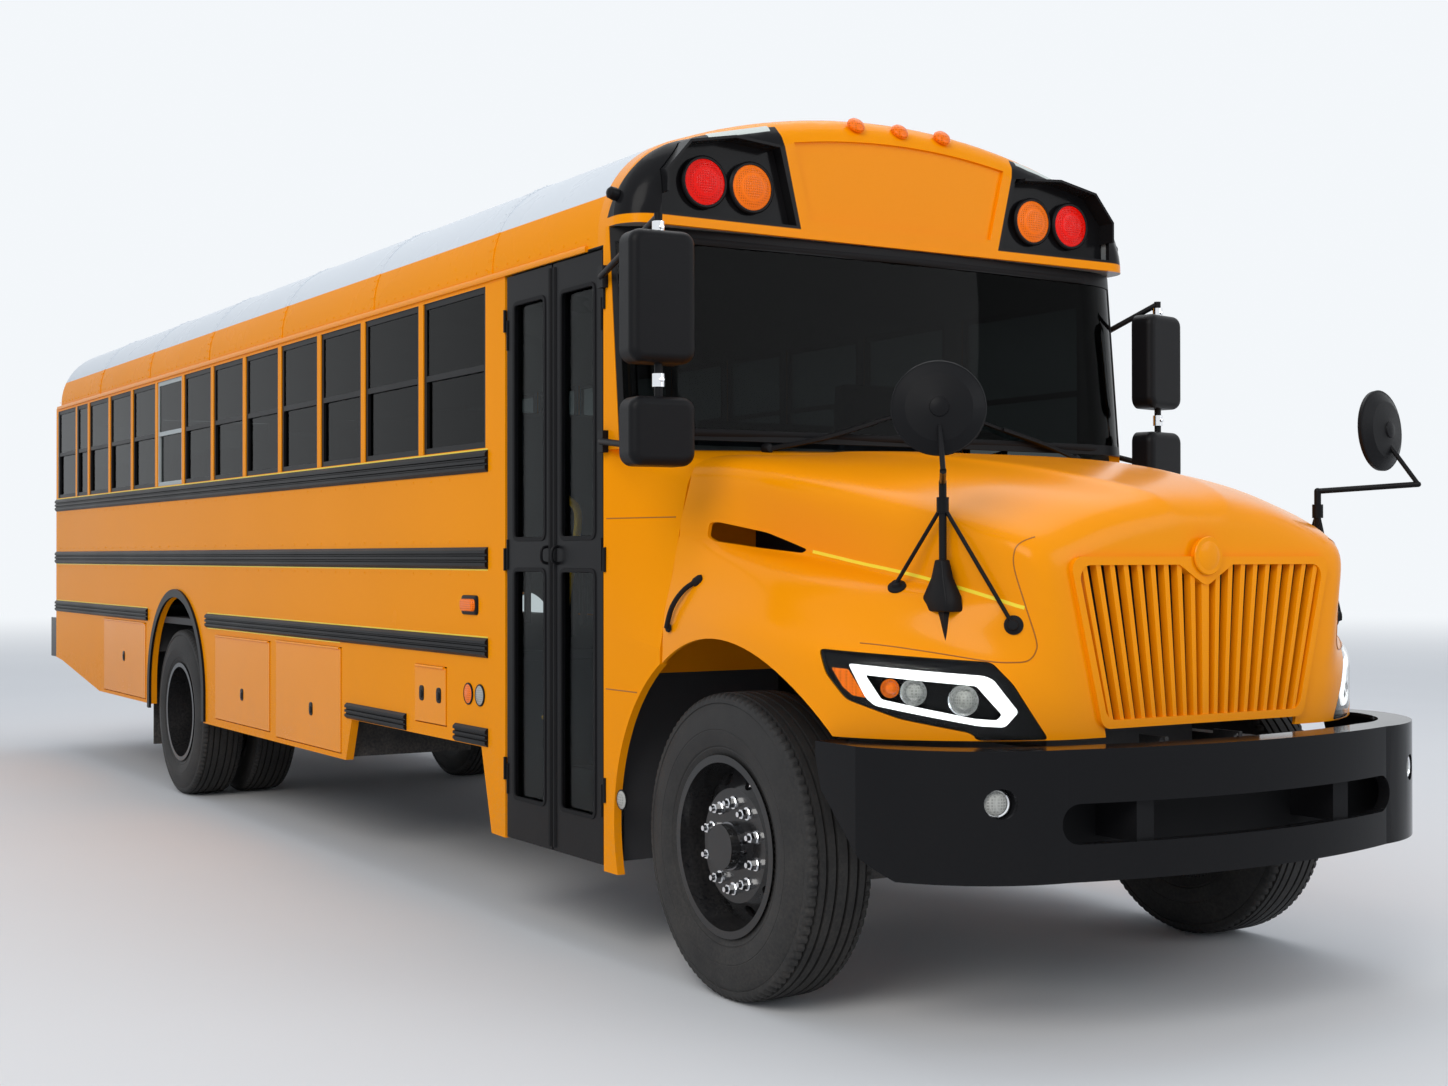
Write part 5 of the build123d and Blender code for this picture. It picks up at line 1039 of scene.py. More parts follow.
def hood_shell(name, skin):
    """The whole skin, thickened inwards."""
    rows, columns, _ = hood_grid.shape
    half = [tuple(p) for row in hood_grid for p in row]
    points = half + [(x, -y, z) for x, y, z in half]
    faces = grid_faces(rows, columns) + grid_faces(rows, columns, rows * columns, True)
    shell = outward(mesh_piece(name, points, faces, body_enamel))
    top = max(shell.data.polygons, key=lambda face: face.center.z)
    if top.normal.z < 0:
        shell.data.flip_normals()
    return thickened(shell, skin)


def lamp_outline(grow):
    """The headlamp's outline, grown or shrunk from its middle."""
    centre = Vector((sum(u for u, z in LAMP_OUTLINE), sum(z for u, z in LAMP_OUTLINE)))
    centre /= len(LAMP_OUTLINE)
    return [tuple(Vector(p) + (Vector(p) - centre).normalized() * grow) for p in LAMP_OUTLINE]


def mirrored(piece):
    """A mesh turned over to the other side of the bus."""
    piece.data.transform(Matrix.Scale(-1, 4, (0, 1, 0)))
    return outward(piece)


def lamp_block(side, grow):
    """The block that cuts a headlamp's opening."""
    block = prism(rounded(lamp_outline(grow), 0.02), LAMP_OUTER, LAMP_ALONG, LAMP_OUT, -0.4, 0.4)
    return mirrored(block) if side > 0 else block


def smoothed(piece, angle=32):
    """Smooth shading across edges below an angle."""
    piece.data.shade_smooth()
    piece.data.set_sharp_from_angle(angle=radians(angle))
    return piece


def round_block(x, z, radius, half_width, sides=96):
    """A cylinder across the bus."""
    points, faces = lathe([(-half_width, 0), (-half_width, radius), (half_width, radius),
                           (half_width, 0)], sides)
    return outward(mesh_piece("block", shifted(points, x, 0, z), faces))


hood_skin = hood_shell("hood_shell", HOOD_SKIN)
cut(hood_skin, prism(rounded(GRILLE_OPENING, 0.04), Vector((AXLE_FRONT_X + 1.0, 0, 0)), LEFTWARD,
                     FORWARD, -0.08, 0.05))
cut(hood_skin, round_block(AXLE_FRONT_X, ARCH_Z, ARCH_R, 1.6))
for side in (-1, 1):
    cut(hood_skin, lamp_block(side, 0.003))
    slot_block = prism(rounded(VENT_SLOT, 0.012, 3), LEFTWARD * side * VENT_CUT_Y, FORWARD,
                       LEFTWARD * side, 0.0, 0.35)
    cut(hood_skin, slot_block)
smoothed(hood_skin)
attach(hood_skin, "hood")
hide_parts("hood")

near_skin = [(x, -y, z) for row in hood_grid for x, y, z in row]
near_faces = grid_faces(hood_grid.shape[0], hood_grid.shape[1], flip=True)
HOOD_TREE = BVHTree.FromPolygons([Vector(p) for p in near_skin], near_faces)


def on_skin(point):
    """The nearest place on the hood's near half and the way the skin faces there."""
    place, normal, _, _ = HOOD_TREE.find_nearest(Vector(point))
    if normal.dot(place - HOOD_MIDDLE) < 0:
        normal = -normal
    return place, normal


def smooth_line(points, parts=5):
    """A curve through a few points of a line, as a list of points."""
    points = [Vector(p) for p in points]
    found = []
    for i in range(len(points) - 1):
        p0, p1 = points[max(i - 1, 0)], points[i]
        p2, p3 = points[i + 1], points[min(i + 2, len(points) - 1)]
        for step in range(parts):
            t = step / parts
            found.append(0.5 * (2 * p1 + (p2 - p0) * t + (2 * p0 - 5 * p1 + 4 * p2 - p3) * t * t
                                + (3 * p1 - p0 - 3 * p2 + p3) * t ** 3))
    return found + [points[-1]]


# the seams are drawn in a darker enamel: painted shade of the crevice along each
shade_enamel = finish("shade_enamel", (0.36, 0.105, 0.002), 0.4, grain=200, bump=0.05, film=0.1)
# the yellow line along each fender is a painted highlight on its shoulder; the real tape on the
# walls takes the same yellow
tape_yellow = finish("tape_yellow", (0.95, 0.72, 0.02), 0.4, grain=300, bump=0.08, film=0.1)
for label, line, section, material in (
        ("nose_seam", NOSE_LINE, round_section(0.0022, 6), shade_enamel),
        ("fender_tape", FENDER_LINE, strip_section(0.011, 0.0008), tape_yellow)):
    for word, side in (("right", -1), ("left", 1)):
        spots = [on_skin(p) for p in smooth_line(line)]
        piece = swept(f"{label}_{word}", [p for p, _ in spots], section, [n for _, n in spots],
                      material)
        if side > 0:
            mirrored(piece)
        fitted(piece, "hood")
# black pans behind the vent slots and the two rubber straps that hold the hood down
for word, side in (("right", -1), ("left", 1)):
    pan = prism(VENT_PAN, LEFTWARD * side * VENT_PAN_Y, FORWARD, LEFTWARD * side, 0.0, 0.006)
    pan.data.materials.append(satin_black)
    pan.name = f"vent_pan_{word}"
    fitted(pan, "hood")
    strap = smooth_line([(x, side * y, z) for x, y, z in STRAP_LINE], 5)
    strap = swept(f"hood_strap_{word}", strap, round_section(0.009), (0, side, 0.3), seal_rubber)
    grip = [(0.0, 0.0), (0.0, 0.013), (0.010, 0.017), (0.030, 0.017), (0.040, 0.012), (0.042, 0.0)]
    grip = turned(f"strap_grip_{word}", grip, (4.135, side * 1.166, 1.378),
                  (0.7, -side * 0.5, 0.55), 20, seal_rubber)
    foot = turned(f"strap_foot_{word}", [(0.0, 0.0), (0.0, 0.016), (0.007, 0.014), (0.009, 0.0)],
                  (4.045, side * 1.212, 1.226), (0, side, 0), 20, seal_rubber)
    fitted(joined(f"hood_strap_{word}", [strap, grip, foot]), "hood")

# the cowl's sheets meet in two level seams on each side, between the door and the hood; they are
# drawn in darker enamel as painted shade of the crevice
COWL_SEAMS_Z = (1.610, 0.990)
COWL_SEAM_X = np.linspace(3.600, 3.955, 12)
cowl_mesh = nodes["cowl"].data
COWL_TREE = BVHTree.FromPolygons([v.co for v in cowl_mesh.vertices],
                                 [f.vertices for f in cowl_mesh.polygons])
for word, side in (("right", -1), ("left", 1)):
    for number, z in enumerate(COWL_SEAMS_Z):
        hits = [COWL_TREE.ray_cast(Vector((x, side * 2.0, z)), LEFTWARD * -side)
                for x in COWL_SEAM_X]
        hits = [(place, normal) for place, normal, _, _ in hits if place and abs(place.y) > 0.9]
        if len(hits) > 2:
            seam = swept(f"cowl_seam_{word}_{number}", [p for p, _ in hits],
                         round_section(0.0022, 6), [n for _, n in hits], shade_enamel)
            fitted(seam, "chassis_and_body")

# Grille: a moulded enamel frame with fanned upright bars and a dip under a plain round badge. A
# black wire screen behind the bars keeps the radiator out of sight.
BADGE_PLACE = (AXLE_FRONT_X + 1.028, 0, 1.472)
SCREEN = [(-0.425, 0.965), (0.425, 0.965), (0.535, 1.440), (-0.535, 1.440)]
SCREEN_X = AXLE_FRONT_X + 0.975
paint(body_enamel, "grille")
badge = [(0.0, 0.060), (0.006, 0.062), (0.010, 0.059), (0.010, 0.052), (0.008, 0.050),
         (0.010, 0.046), (0.013, 0.030), (0.0145, 0.015), (0.015, 0.0)]
fitted(turned("badge", badge, BADGE_PLACE, (1, 0, 0), 56, body_enamel, 30), "hood")
screen = prism(SCREEN, FORWARD * SCREEN_X, LEFTWARD, FORWARD, 0.0, 0.004)
screen.data.materials.append(seal_rubber)
screen.name = "grille_screen"
fitted(screen, "hood")

# Headlamps: a clear lens that carries on the fender's skin over a black housing, with a white
# light guide all round, two projectors, a turn lamp and an amber reflector at the outer end.
LIGHT_OUTER = [(0.168, 1.143), (0.580, 1.110), (0.608, 1.098), (0.680, 1.001), (0.641, 0.955),
               (0.567, 0.959), (0.254, 1.017), (0.225, 1.040)]
LIGHT_INNER = [(0.223, 1.110), (0.559, 1.080), (0.633, 0.993), (0.617, 0.976), (0.554, 0.981),
               (0.274, 1.036)]
# name, place along the lamp's face, height and radius of each round lamp in it
OPTICS = [("low", 0.372, 1.059, 0.037), ("high", 0.520, 1.036, 0.042),
          ("turn", 0.300, 1.070, 0.026)]
# the part of the hood's net that the headlamp lies in starts at this row and column
LAMP_ROW = 24
LAMP_COLUMN = 54
SIDE_REFLECTOR = [(0.111, 1.130), (0.167, 1.126), (0.225, 1.040), (0.182, 1.046), (0.149, 1.072)]
lamp_clear, tree, shader = new_material("lamp_clear_lens")
shader.inputs["Base Color"].default_value = (0.95, 0.97, 0.97, 1)
shader.inputs["Roughness"].default_value = 0.02
shader.inputs["Transmission Weight"].default_value = 1.0
shader.inputs["IOR"].default_value = 1.08
light_guide, tree, shader = new_material("light_guide")
ripple = put(tree, "ShaderNodeTexWave", Vector=object_spot(tree), Scale=60.0, Distortion=1.0)
glow = put(tree, "ShaderNodeMapRange", Value=ripple.outputs["Fac"], To_Min=0.80, To_Max=1.0)
glow = grey_of(tree, glow.outputs[0])
tree.links.new(glow, shader.inputs["Emission Color"])
tree.links.new(glow, shader.inputs["Base Color"])
shader.inputs["Emission Strength"].default_value = 0.95
shader.inputs["Roughness"].default_value = 0.3


def lamp_layer(name, side, outline, depth, thick, material, hole=None, corner=0.012):
    """A part of the hood's skin inside an outline, sunk below it and as thick as asked."""
    grid = hood_grid.copy()
    along_rows, along_columns = np.gradient(grid, axis=0), np.gradient(grid, axis=1)
    normals = np.cross(along_columns, along_rows)
    normals /= np.linalg.norm(normals, axis=2, keepdims=True) + 1e-12
    flip = np.sign((normals * (grid - np.array(HOOD_MIDDLE))).sum(axis=2, keepdims=True))
    grid = grid - normals * flip * depth
    grid = grid[LAMP_ROW:, LAMP_COLUMN:]
    rows, columns, _ = grid.shape
    points = [(x, -y, z) for row in grid for x, y, z in row]
    sheet = mesh_piece(name, points, grid_faces(rows, columns, flip=True), material)
    middle = sheet.data.polygons[len(sheet.data.polygons) // 2]
    if middle.normal.dot(middle.center - HOOD_MIDDLE) < 0:
        sheet.data.flip_normals()
    thickened(sheet, thick)
    cut(sheet, prism(rounded(outline, corner), LAMP_OUTER, LAMP_ALONG, LAMP_OUT, -0.25, 0.3),
        "INTERSECT")
    if hole:
        cut(sheet, prism(rounded(hole, corner * 0.7), LAMP_OUTER, LAMP_ALONG, LAMP_OUT, -0.3, 0.35))
    sheet.data.materials.clear()
    sheet.data.materials.append(material)
    if side > 0:
        mirrored(sheet)
    return smoothed(sheet, 30)


def lamp_spot(u, z, depth):
    """A place on the lamp's face, some way below the skin."""
    origin = LAMP_OUTER + LAMP_ALONG * u + Vector((0, 0, z)) + LAMP_OUT * 0.35
    place, _, _, _ = HOOD_TREE.ray_cast(origin, -LAMP_OUT, 0.8)
    place = place or origin - LAMP_OUT * 0.35
    return place - LAMP_OUT * depth


for word, side in (("right", -1), ("left", 1)):
    lens = lamp_layer(f"headlamp_lens_{word}", side, lamp_outline(-0.001), 0.0005, 0.003,
                      lamp_clear, corner=0.02)
    housing = lamp_layer(f"headlamp_housing_{word}", side, lamp_outline(-0.0015), 0.055, 0.004,
                         gloss_black)
    rim = lamp_layer(f"headlamp_rim_{word}", side, lamp_outline(-0.0015), 0.0045, 0.050,
                     gloss_black, lamp_outline(-0.012))
    bezel = lamp_layer(f"headlamp_bezel_{word}", side, lamp_outline(-0.010), 0.012, 0.004,
                       gloss_black, LIGHT_INNER)
    guide = lamp_layer(f"headlamp_guide_{word}", side, LIGHT_OUTER, 0.006, 0.007, light_guide,
                       LIGHT_INNER)
    reflector = lamp_layer(f"headlamp_reflector_{word}", side, SIDE_REFLECTOR, 0.0075, 0.005,
                           amber_lens, corner=0.006)
    parts = []
    for label, u, z, radius in OPTICS:
        place = lamp_spot(u, z, 0.040)
        bowl = [(0.0, 0.0), (0.004, radius * 0.55), (0.012, radius * 0.80), (0.022, radius * 1.02),
                (0.026, radius * 1.12), (0.022, radius * 1.14), (0.0, radius * 0.95)]
        dome = [(0.010, radius * 0.72), (0.016, radius * 0.68), (0.024, radius * 0.50),
                (0.029, radius * 0.28), (0.031, 0.0)]
        bowl = turned(f"{label}_bowl", bowl, place, LAMP_OUT, 40, chrome)
        glass = amber_lens if label == "turn" else clear_lens
        dome = turned(f"{label}_dome", dome, place, LAMP_OUT, 40, glass)
        parts += [bowl, dome]
    if side > 0:
        parts = [mirrored(part) for part in parts]
    optics = joined(f"headlamp_optics_{word}", parts)
    for piece, slot in ((lens, "lamp_clear"), (housing, "gloss_black"), (rim, "gloss_black"),
                        (bezel, "gloss_black"), (guide, "lamp_clear"), (reflector, "lamp_amber"),
                        (optics, "lamp_clear")):
        fitted(piece, "hood")
    if side < 0:
        near_lens = lens
lenses = fitted(joined("headlamp_lenses", [near_lens, lens]), "hood")
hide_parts("headlamps")

# Front bumper: a deep bent steel channel, painted gloss black, with two air mouths, a fog lamp at
# each end and bolts through to the rails. A near-black sheet closes the mouths from behind as
# painted shade of the space inside them.
FOG_PLACE = (5.404, 0.900, 0.752)
FOG_FACING = (0.92, 0.38)
MOUTH_SHEET = [(-0.86, 0.56), (0.86, 0.56), (0.86, 0.80), (-0.86, 0.80)]
MOUTH_SHEET_X = 5.350
# the bolts' y and z; the bumper's face starts at one x and sweeps back towards its ends
BUMPER_BOLTS = [(0.24, 0.845), (0.36, 0.845), (0.62, 0.845), (0.24, 0.560), (0.62, 0.560)]
BUMPER_FACE_X = 5.586
BUMPER_SWEEP = 0.14
paint(gloss_black, "front_bumper")
# a near-black sheet behind the mouths: painted shade of the space inside them
mouth_sheet = prism(MOUTH_SHEET, FORWARD * MOUTH_SHEET_X, LEFTWARD, FORWARD, 0.0, 0.004)
mouth_sheet.data.materials.append(seal_rubber)
mouth_sheet.name = "bumper_mouth_sheet"
fitted(mouth_sheet, "chassis_and_body")
fogs = []
for side in (-1, 1):
    place = Vector((FOG_PLACE[0] - 0.005, side * FOG_PLACE[1], FOG_PLACE[2]))
    facing = Vector((FOG_FACING[0], side * FOG_FACING[1], 0))
    ring = [(0.0, 0.036), (0.0, 0.043), (0.012, 0.043), (0.014, 0.039), (0.010, 0.035),
            (0.0, 0.036)]
    fogs.append(turned("fog_ring", ring, place, facing, 36, chrome))
    bowl = [(-0.030, 0.0), (-0.026, 0.018), (-0.012, 0.030), (0.004, 0.036), (0.006, 0.037),
            (-0.014, 0.034), (-0.032, 0.0)]
    fogs.append(turned("fog_bowl", bowl, place, facing, 36, chrome))
    glass = [(0.004, 0.036), (0.010, 0.030), (0.015, 0.017), (0.017, 0.0)]
    fogs.append(turned("fog_lens", glass, place, facing, 36, clear_lens))
fitted(joined("fog_lamps", fogs), "chassis_and_body")
bolts = [(BUMPER_FACE_X - BUMPER_SWEEP * y, s * y, z) for s in (-1, 1) for y, z in BUMPER_BOLTS]
bolts = grown("bumper_bolts", bolts, FASTENER_HEADS, "chassis_and_body", [FORWARD] * len(bolts),
              Sides=14, Head_Radius=0.011, Top_Share=0.6, Head_Height=0.006, Finish=gloss_black)

# Windows: tinted safety glass in black aluminium frames, slid into the walls; all glass but the
# entrance door's is darkened nearly black, partly its tint and partly painted shade of the cabin
# behind it. The windshield is bonded in a rubber seal and swept by two black wipers. One frame is
# left bare aluminium.
BARE_FRAME_X = (-2.515, -1.885)
GLASS_IOR = 1.12
# the upper band of the glass is darker: where it starts and ends
TINT_BAND_Z = (2.35, 2.62)
# the windshield's face: x behind the front axle at three distances from the middle, and how far
# it leans back from its foot to its head
SHIELD_Y = [0.0, 0.979, 1.219]
SHIELD_X = [-0.500, -0.540, -0.640]
SHIELD_FOOT_Z = 1.880
SHIELD_HEAD_Z = 2.672
SHIELD_LEAN = 0.075
WIPER_PIVOT_Z = 1.868
# each wiper: its pivot's y, then y and z of its knee and tip
WIPERS = [(-0.661, (-0.429, 1.916), (-0.182, 1.985)), (0.864, (0.668, 1.923), (0.453, 1.977))]


def frame_colour(tree):
    """Black, except the bare frame of the eighth window on the entrance side."""
    x, y, _ = axes(tree)
    bare = sums(tree, "MULTIPLY", between(tree, x, *BARE_FRAME_X),
                above(tree, negative(tree, y), 0.5))
    return laid_over(tree, (0.010, 0.010, 0.011, 1), bare, (0.42, 0.46, 0.46))


window_black = finish("window_black", frame_colour, 0.36, grain=300, bump=0.1, film=0.0, gleam=0.08)
paint(window_black, "window_frames")


def tinted(name, colour):
    """Glass of a given colour, darker along its upper edge."""
    material, tree, shader = new_material(name)
    band = put(tree, "ShaderNodeMapRange", Value=axes(tree)["Z"], From_Min=TINT_BAND_Z[0],
               From_Max=TINT_BAND_Z[1], To_Min=1.0, To_Max=0.6).outputs[0]
    tint = blend(tree, 1.0, (*colour, 1), grey_of(tree, band), "MULTIPLY")
    tree.links.new(tint, shader.inputs["Base Color"])
    shader.inputs["Roughness"].default_value = 0.0
    shader.inputs["Transmission Weight"].default_value = 1.0
    shader.inputs["IOR"].default_value = GLASS_IOR
    return material


# all glass but the entrance door's is darkened nearly black: partly tint, partly painted shade of
# the cabin behind it
side_glass = tinted("side_glass", (0.055, 0.065, 0.065))
door_glass = tinted("door_glass", (0.50, 0.56, 0.56))
paint(side_glass, "window_glass", "emergency_door_glass")
paint(door_glass, "entrance_door_glass_front", "entrance_door_glass_rear")


def windshield_spot(y, z, lift):
    """A place on the windshield's outer face, which is raked and bent back at its ends."""
    base = float(np.interp(abs(y), SHIELD_Y, SHIELD_X))
    lean = (z - SHIELD_FOOT_Z) / (SHIELD_HEAD_Z - SHIELD_FOOT_Z) * SHIELD_LEAN
    return Vector((AXLE_FRONT_X + base - lean + lift, y, z))


SEAL_LOOP = [(y, 1.922) for y in np.linspace(-1.16, 1.16, 25)]
SEAL_LOOP += [(y, 2.628) for y in np.linspace(1.15, -1.15, 25)]
seal = swept("windshield_seal", [windshield_spot(y, z, 0.001) for y, z in SEAL_LOOP],
             [(-0.014, -0.004), (0.014, -0.004), (0.012, 0.005), (0.004, 0.009), (-0.004, 0.009),
              (-0.012, 0.005)], (1, 0, 0), seal_rubber, closed=True)
fitted(seal, "chassis_and_body")

wipers = []
for pivot_y, knee, tip in WIPERS:
    tip = windshield_spot(*tip, 0.030)
    knee = windshield_spot(*knee, 0.042)
    pivot = windshield_spot(pivot_y, WIPER_PIVOT_Z, 0.022)
    arm = swept("wiper_arm", smooth_line([pivot, knee, tip]),
                [(-0.010, -0.003), (0.010, -0.003), (0.006, 0.005), (-0.006, 0.005)], (1, 0, 0),
                satin_black)
    along = (tip - knee).normalized()
    ends = [windshield_spot(tip.y + along.y * s, tip.z + along.z * s, 0.010)
            for s in np.linspace(-0.34, 0.30, 9)]
    blade = swept("wiper_blade", ends, [(-0.004, 0.000), (0.004, 0.000), (0.008, 0.010),
                                        (0.005, 0.016), (-0.005, 0.016), (-0.008, 0.010)],
                  (1, 0, 0), satin_black)
    knob = [(0.0, 0.0), (0.0, 0.024), (0.016, 0.022), (0.026, 0.014), (0.028, 0.0)]
    wipers += [arm, blade, turned("wiper_hub", knob, pivot - Vector((0.022, 0, 0)), (1, 0, 0.1), 24,
                                  satin_black)]
fitted(joined("wipers", wipers), "chassis_and_body")

# Entrance door: two glazed leaves of black aluminium with a rubber seal where they meet, hinges
# on the jambs, a small pull on each and yellow grab rails inside the doorway.
DOOR_FACE_Y = -1.219
DOOR_PANES_Z = ((1.540, 2.480), (0.510, 1.420))
DOOR_HINGES_Z = (0.62, 1.46, 2.42)
DOOR_STILE = 0.062
# the gaskets' and the seal's sections: sideways and up from the door's face
DOOR_GASKET = [(-0.009, -0.002), (0.009, -0.002), (0.007, 0.004), (-0.007, 0.004)]
MEETING_SEAL = [(-0.012, -0.002), (0.012, -0.002), (0.006, 0.007), (-0.006, 0.007)]
OUT_OF_DOOR = (0, -1, 0)
door_black = finish("door_black", (0.007, 0.007, 0.008), 0.34, grain=300, bump=0.08, film=0.05,
                    gleam=0.08)
paint(door_black, "entrance_door_front", "entrance_door_rear")
rail_yellow = finish("rail_yellow", (0.90, 0.50, 0.01), 0.3, grain=150, bump=0.05, film=0.0,
                     gleam=0.3)
# body, x of its rear and front edge, and the side of its meeting edge
LEAVES = [("entrance_leaf_rear", 2.761, 3.1625, 1), ("entrance_leaf_front", 3.1745, 3.576, -1)]
for body, low, high, meeting in LEAVES:
    parts = []
    for z0, z1 in DOOR_PANES_Z:
        a, b = low + DOOR_STILE, high - DOOR_STILE
        loop = rounded([(a, z0), (b, z0), (b, z1), (a, z1)], 0.03, 4)
        parts.append(swept("pane_gasket", [(x, DOOR_FACE_Y, z) for x, z in loop], DOOR_GASKET,
                           OUT_OF_DOOR, seal_rubber, closed=True))
    edge = high if meeting > 0 else low
    ends = [(edge - meeting * 0.012, DOOR_FACE_Y, z) for z in (0.36, 2.58)]
    parts.append(swept("meeting_seal", ends, MEETING_SEAL, OUT_OF_DOOR, seal_rubber))
    pull_x = edge - meeting * 0.040
    pull = [(pull_x, y, z) for y, z in ((-1.217, 1.445), (-1.243, 1.455), (-1.243, 1.500),
                                        (-1.217, 1.510))]
    parts.append(swept("door_pull", smooth_line(pull, 4), round_section(0.006, 10), (1, 0, 0.01),
                       satin_black))
    fitted(joined(f"{body}_trim", parts), body)
    hinge_x = low - 0.017 if meeting > 0 else high + 0.017
    knuckles = [turned("hinge", [(-0.045, 0.0), (-0.045, 0.007), (0.045, 0.007), (0.045, 0.0)],
                       (hinge_x, -1.221, z), (0, 0, 1), 16, satin_black) for z in DOOR_HINGES_Z]
    fitted(joined(f"{body}_hinges", knuckles), "chassis_and_body")
rails = []
for x0, x1 in ((2.86, 3.02), (3.50, 3.36)):
    line = [(x0, -1.10, 0.82), (x0, -1.06, 0.90), ((x0 + x1) / 2, -1.04, 1.30), (x1, -1.03, 1.62),
            (x1, -1.08, 1.70)]
    rails.append(swept("grab_rail", smooth_line(line, 6), round_section(0.0155, 14), (1, 0, 0.02),
                       rail_yellow))
fitted(joined("grab_rails", rails), "chassis_and_body")

# Side lamps, latches and tape: round clear and amber lamps and a turn lamp on each wall, paddle
# latches on the flaps, and a thin reflecting yellow tape beside the rub rails.
SKIRT_LAMPS_Z = 0.897
SKIRT_LAMP_R = 0.042
COWL_LAMP_R = 0.034
# from x, to x and height of each strip of tape
TAPES = [(-5.34, 2.575, 1.4165), (-5.34, 2.575, 1.9135), (-1.37, 2.575, 1.139),
         (-5.34, -2.71, 1.139), (-1.37, 0.85, 1.0515)]
# body, x and height of each latch on the entrance side
LATCHES = [("luggage_door_front", (0.44, 0.70)), ("luggage_door_middle", (-0.70, 0.70)),
           ("luggage_door_rear", (-3.30, 0.80)), ("battery_door", (1.885, 0.87)),
           ("battery_door", (2.075, 0.87))]
LATCH_Y = -1.2225
PADDLE_Y = -1.2262


def lamp_box(name, low, high, y, out, material):
    """A small moulded lens with its edges taken off, standing on a wall."""
    (x0, z0), (x1, z1) = low, high
    loop = rounded([(x0, z0), (x1, z0), (x1, z1), (x0, z1)], 0.02, 5)
    middle = Vector(((x0 + x1) / 2, (z0 + z1) / 2))
    side = 1 if out > 0 else -1
    rows = []
    for part, share in ((0.0, 1.0), (0.6, 0.97), (0.9, 0.90), (1.0, 0.75)):
        level = y + side * abs(out) * part
        rows.append([(middle.x + (x - middle.x) * share, level, middle.y + (z - middle.y) * share)
                     for x, z in loop])
    n = len(loop)
    points = [p for row in rows for p in row]
    faces = [(r * n + k, r * n + (k + 1) % n, (r + 1) * n + (k + 1) % n, (r + 1) * n + k)
             for r in range(3) for k in range(n)]
    faces += [tuple(range(3 * n, 4 * n)), tuple(range(n))[::-1]]
    return outward(mesh_piece(name, points, faces, material, 40))


for word, side in (("right", -1), ("left", 1)):
    wall_y = side * BODY_HALF
    round_lamp(f"side_amber_{word}", (2.383, wall_y, SKIRT_LAMPS_Z), (0, side, 0), SKIRT_LAMP_R,
               amber_lens, "chassis_and_body", 0.16)
    round_lamp(f"side_clear_{word}", (2.500, wall_y, SKIRT_LAMPS_Z), (0, side, 0), SKIRT_LAMP_R,
               clear_lens, "chassis_and_body", 0.16)
    fitted(lamp_box(f"turn_lamp_base_{word}", (2.318, 1.228), (2.482, 1.310), wall_y, side * 0.010,
                    satin_black), "chassis_and_body")
    fitted(lamp_box(f"turn_lamp_{word}", (2.334, 1.243), (2.466, 1.295), wall_y + side * 0.009,
                    side * 0.016, amber_lens), "chassis_and_body")
    round_lamp(f"cowl_lamp_{word}", (3.718, side * 1.216, 0.599), (0, side, 0), COWL_LAMP_R,
               clear_lens, "chassis_and_body", 0.3)
    for k, (x0, x1, z) in enumerate(TAPES):
        tape = swept(f"tape_{word}_{k}", [(x0, wall_y, z), (x1, wall_y, z)],
                     strip_section(0.006, 0.0012), (0, side, 0), tape_yellow)
        fitted(tape, "chassis_and_body")

for index, (body, (x, z)) in enumerate(LATCHES):
    plate = lamp_box("latch", (x - 0.026, z - 0.034), (x + 0.026, z + 0.034), LATCH_Y, -0.004,
                     satin_black)
    paddle = lamp_box("paddle", (x - 0.016, z - 0.022), (x + 0.016, z + 0.014), PADDLE_Y, -0.004,
                      gloss_black)
    fitted(joined(f"flap_latch_{index}", [plate, paddle]), body)

# Mirrors: flat and convex heads in moulded black shells on black tubes beside the windshield, and
# a round convex mirror on a braced post on each fender.
HEAD_HALF = 0.098
HEAD_EDGE = 0.022
FACE_X = (-0.0515, -0.049)
# x, y, the heights of both heads and the angle they are turned by
HEADS = [(4.240, -1.364, ((2.110, 2.550), (1.770, 2.000)), -4),
         (3.780, 1.364, ((2.100, 2.500), (1.790, 2.000)), 12)]
# the fender mirrors: the post's place and the height its braces meet it at, the braces' feet, the
# mirror's middle and the way its back looks on each side
POST_X = 5.087
POST_Y = 0.843
POST_TOP_Z = 1.629
BRACE_FEET = [(4.932, 0.902, 1.376), (5.280, 0.728, 1.264)]
CROSS_MIDDLE = (5.240, 0.980, 1.910)
CROSS_BACK = {-1: (0.82, -0.57, 0.05), 1: (0.98, 0.19, 0.05)}
# the foot under each post: half its length and breadth, and its height over the skin
POST_FOOT = [(0.060, 0.036, -0.035), (0.056, 0.033, 0.012), (0.030, 0.022, 0.070),
             (0.018, 0.017, 0.125)]
mirror_black = finish("mirror_black", (0.006, 0.006, 0.007), 0.40, grain=500, bump=0.25, film=0.0,
                      gleam=0.12)
mirror_face, tree, shader = new_material("mirror_face")
smear = put(tree, "ShaderNodeTexNoise", Vector=object_spot(tree), Scale=30.0, Detail=4.0)
smear = put(tree, "ShaderNodeMapRange", Value=smear.outputs["Fac"], To_Min=0.01, To_Max=0.05)
tree.links.new(smear.outputs[0], shader.inputs["Roughness"])
shader.inputs["Base Color"].default_value = (0.78, 0.80, 0.82, 1)
shader.inputs["Metallic"].default_value = 1.0
paint(mirror_black, "side_mirrors", "cross_mirrors")
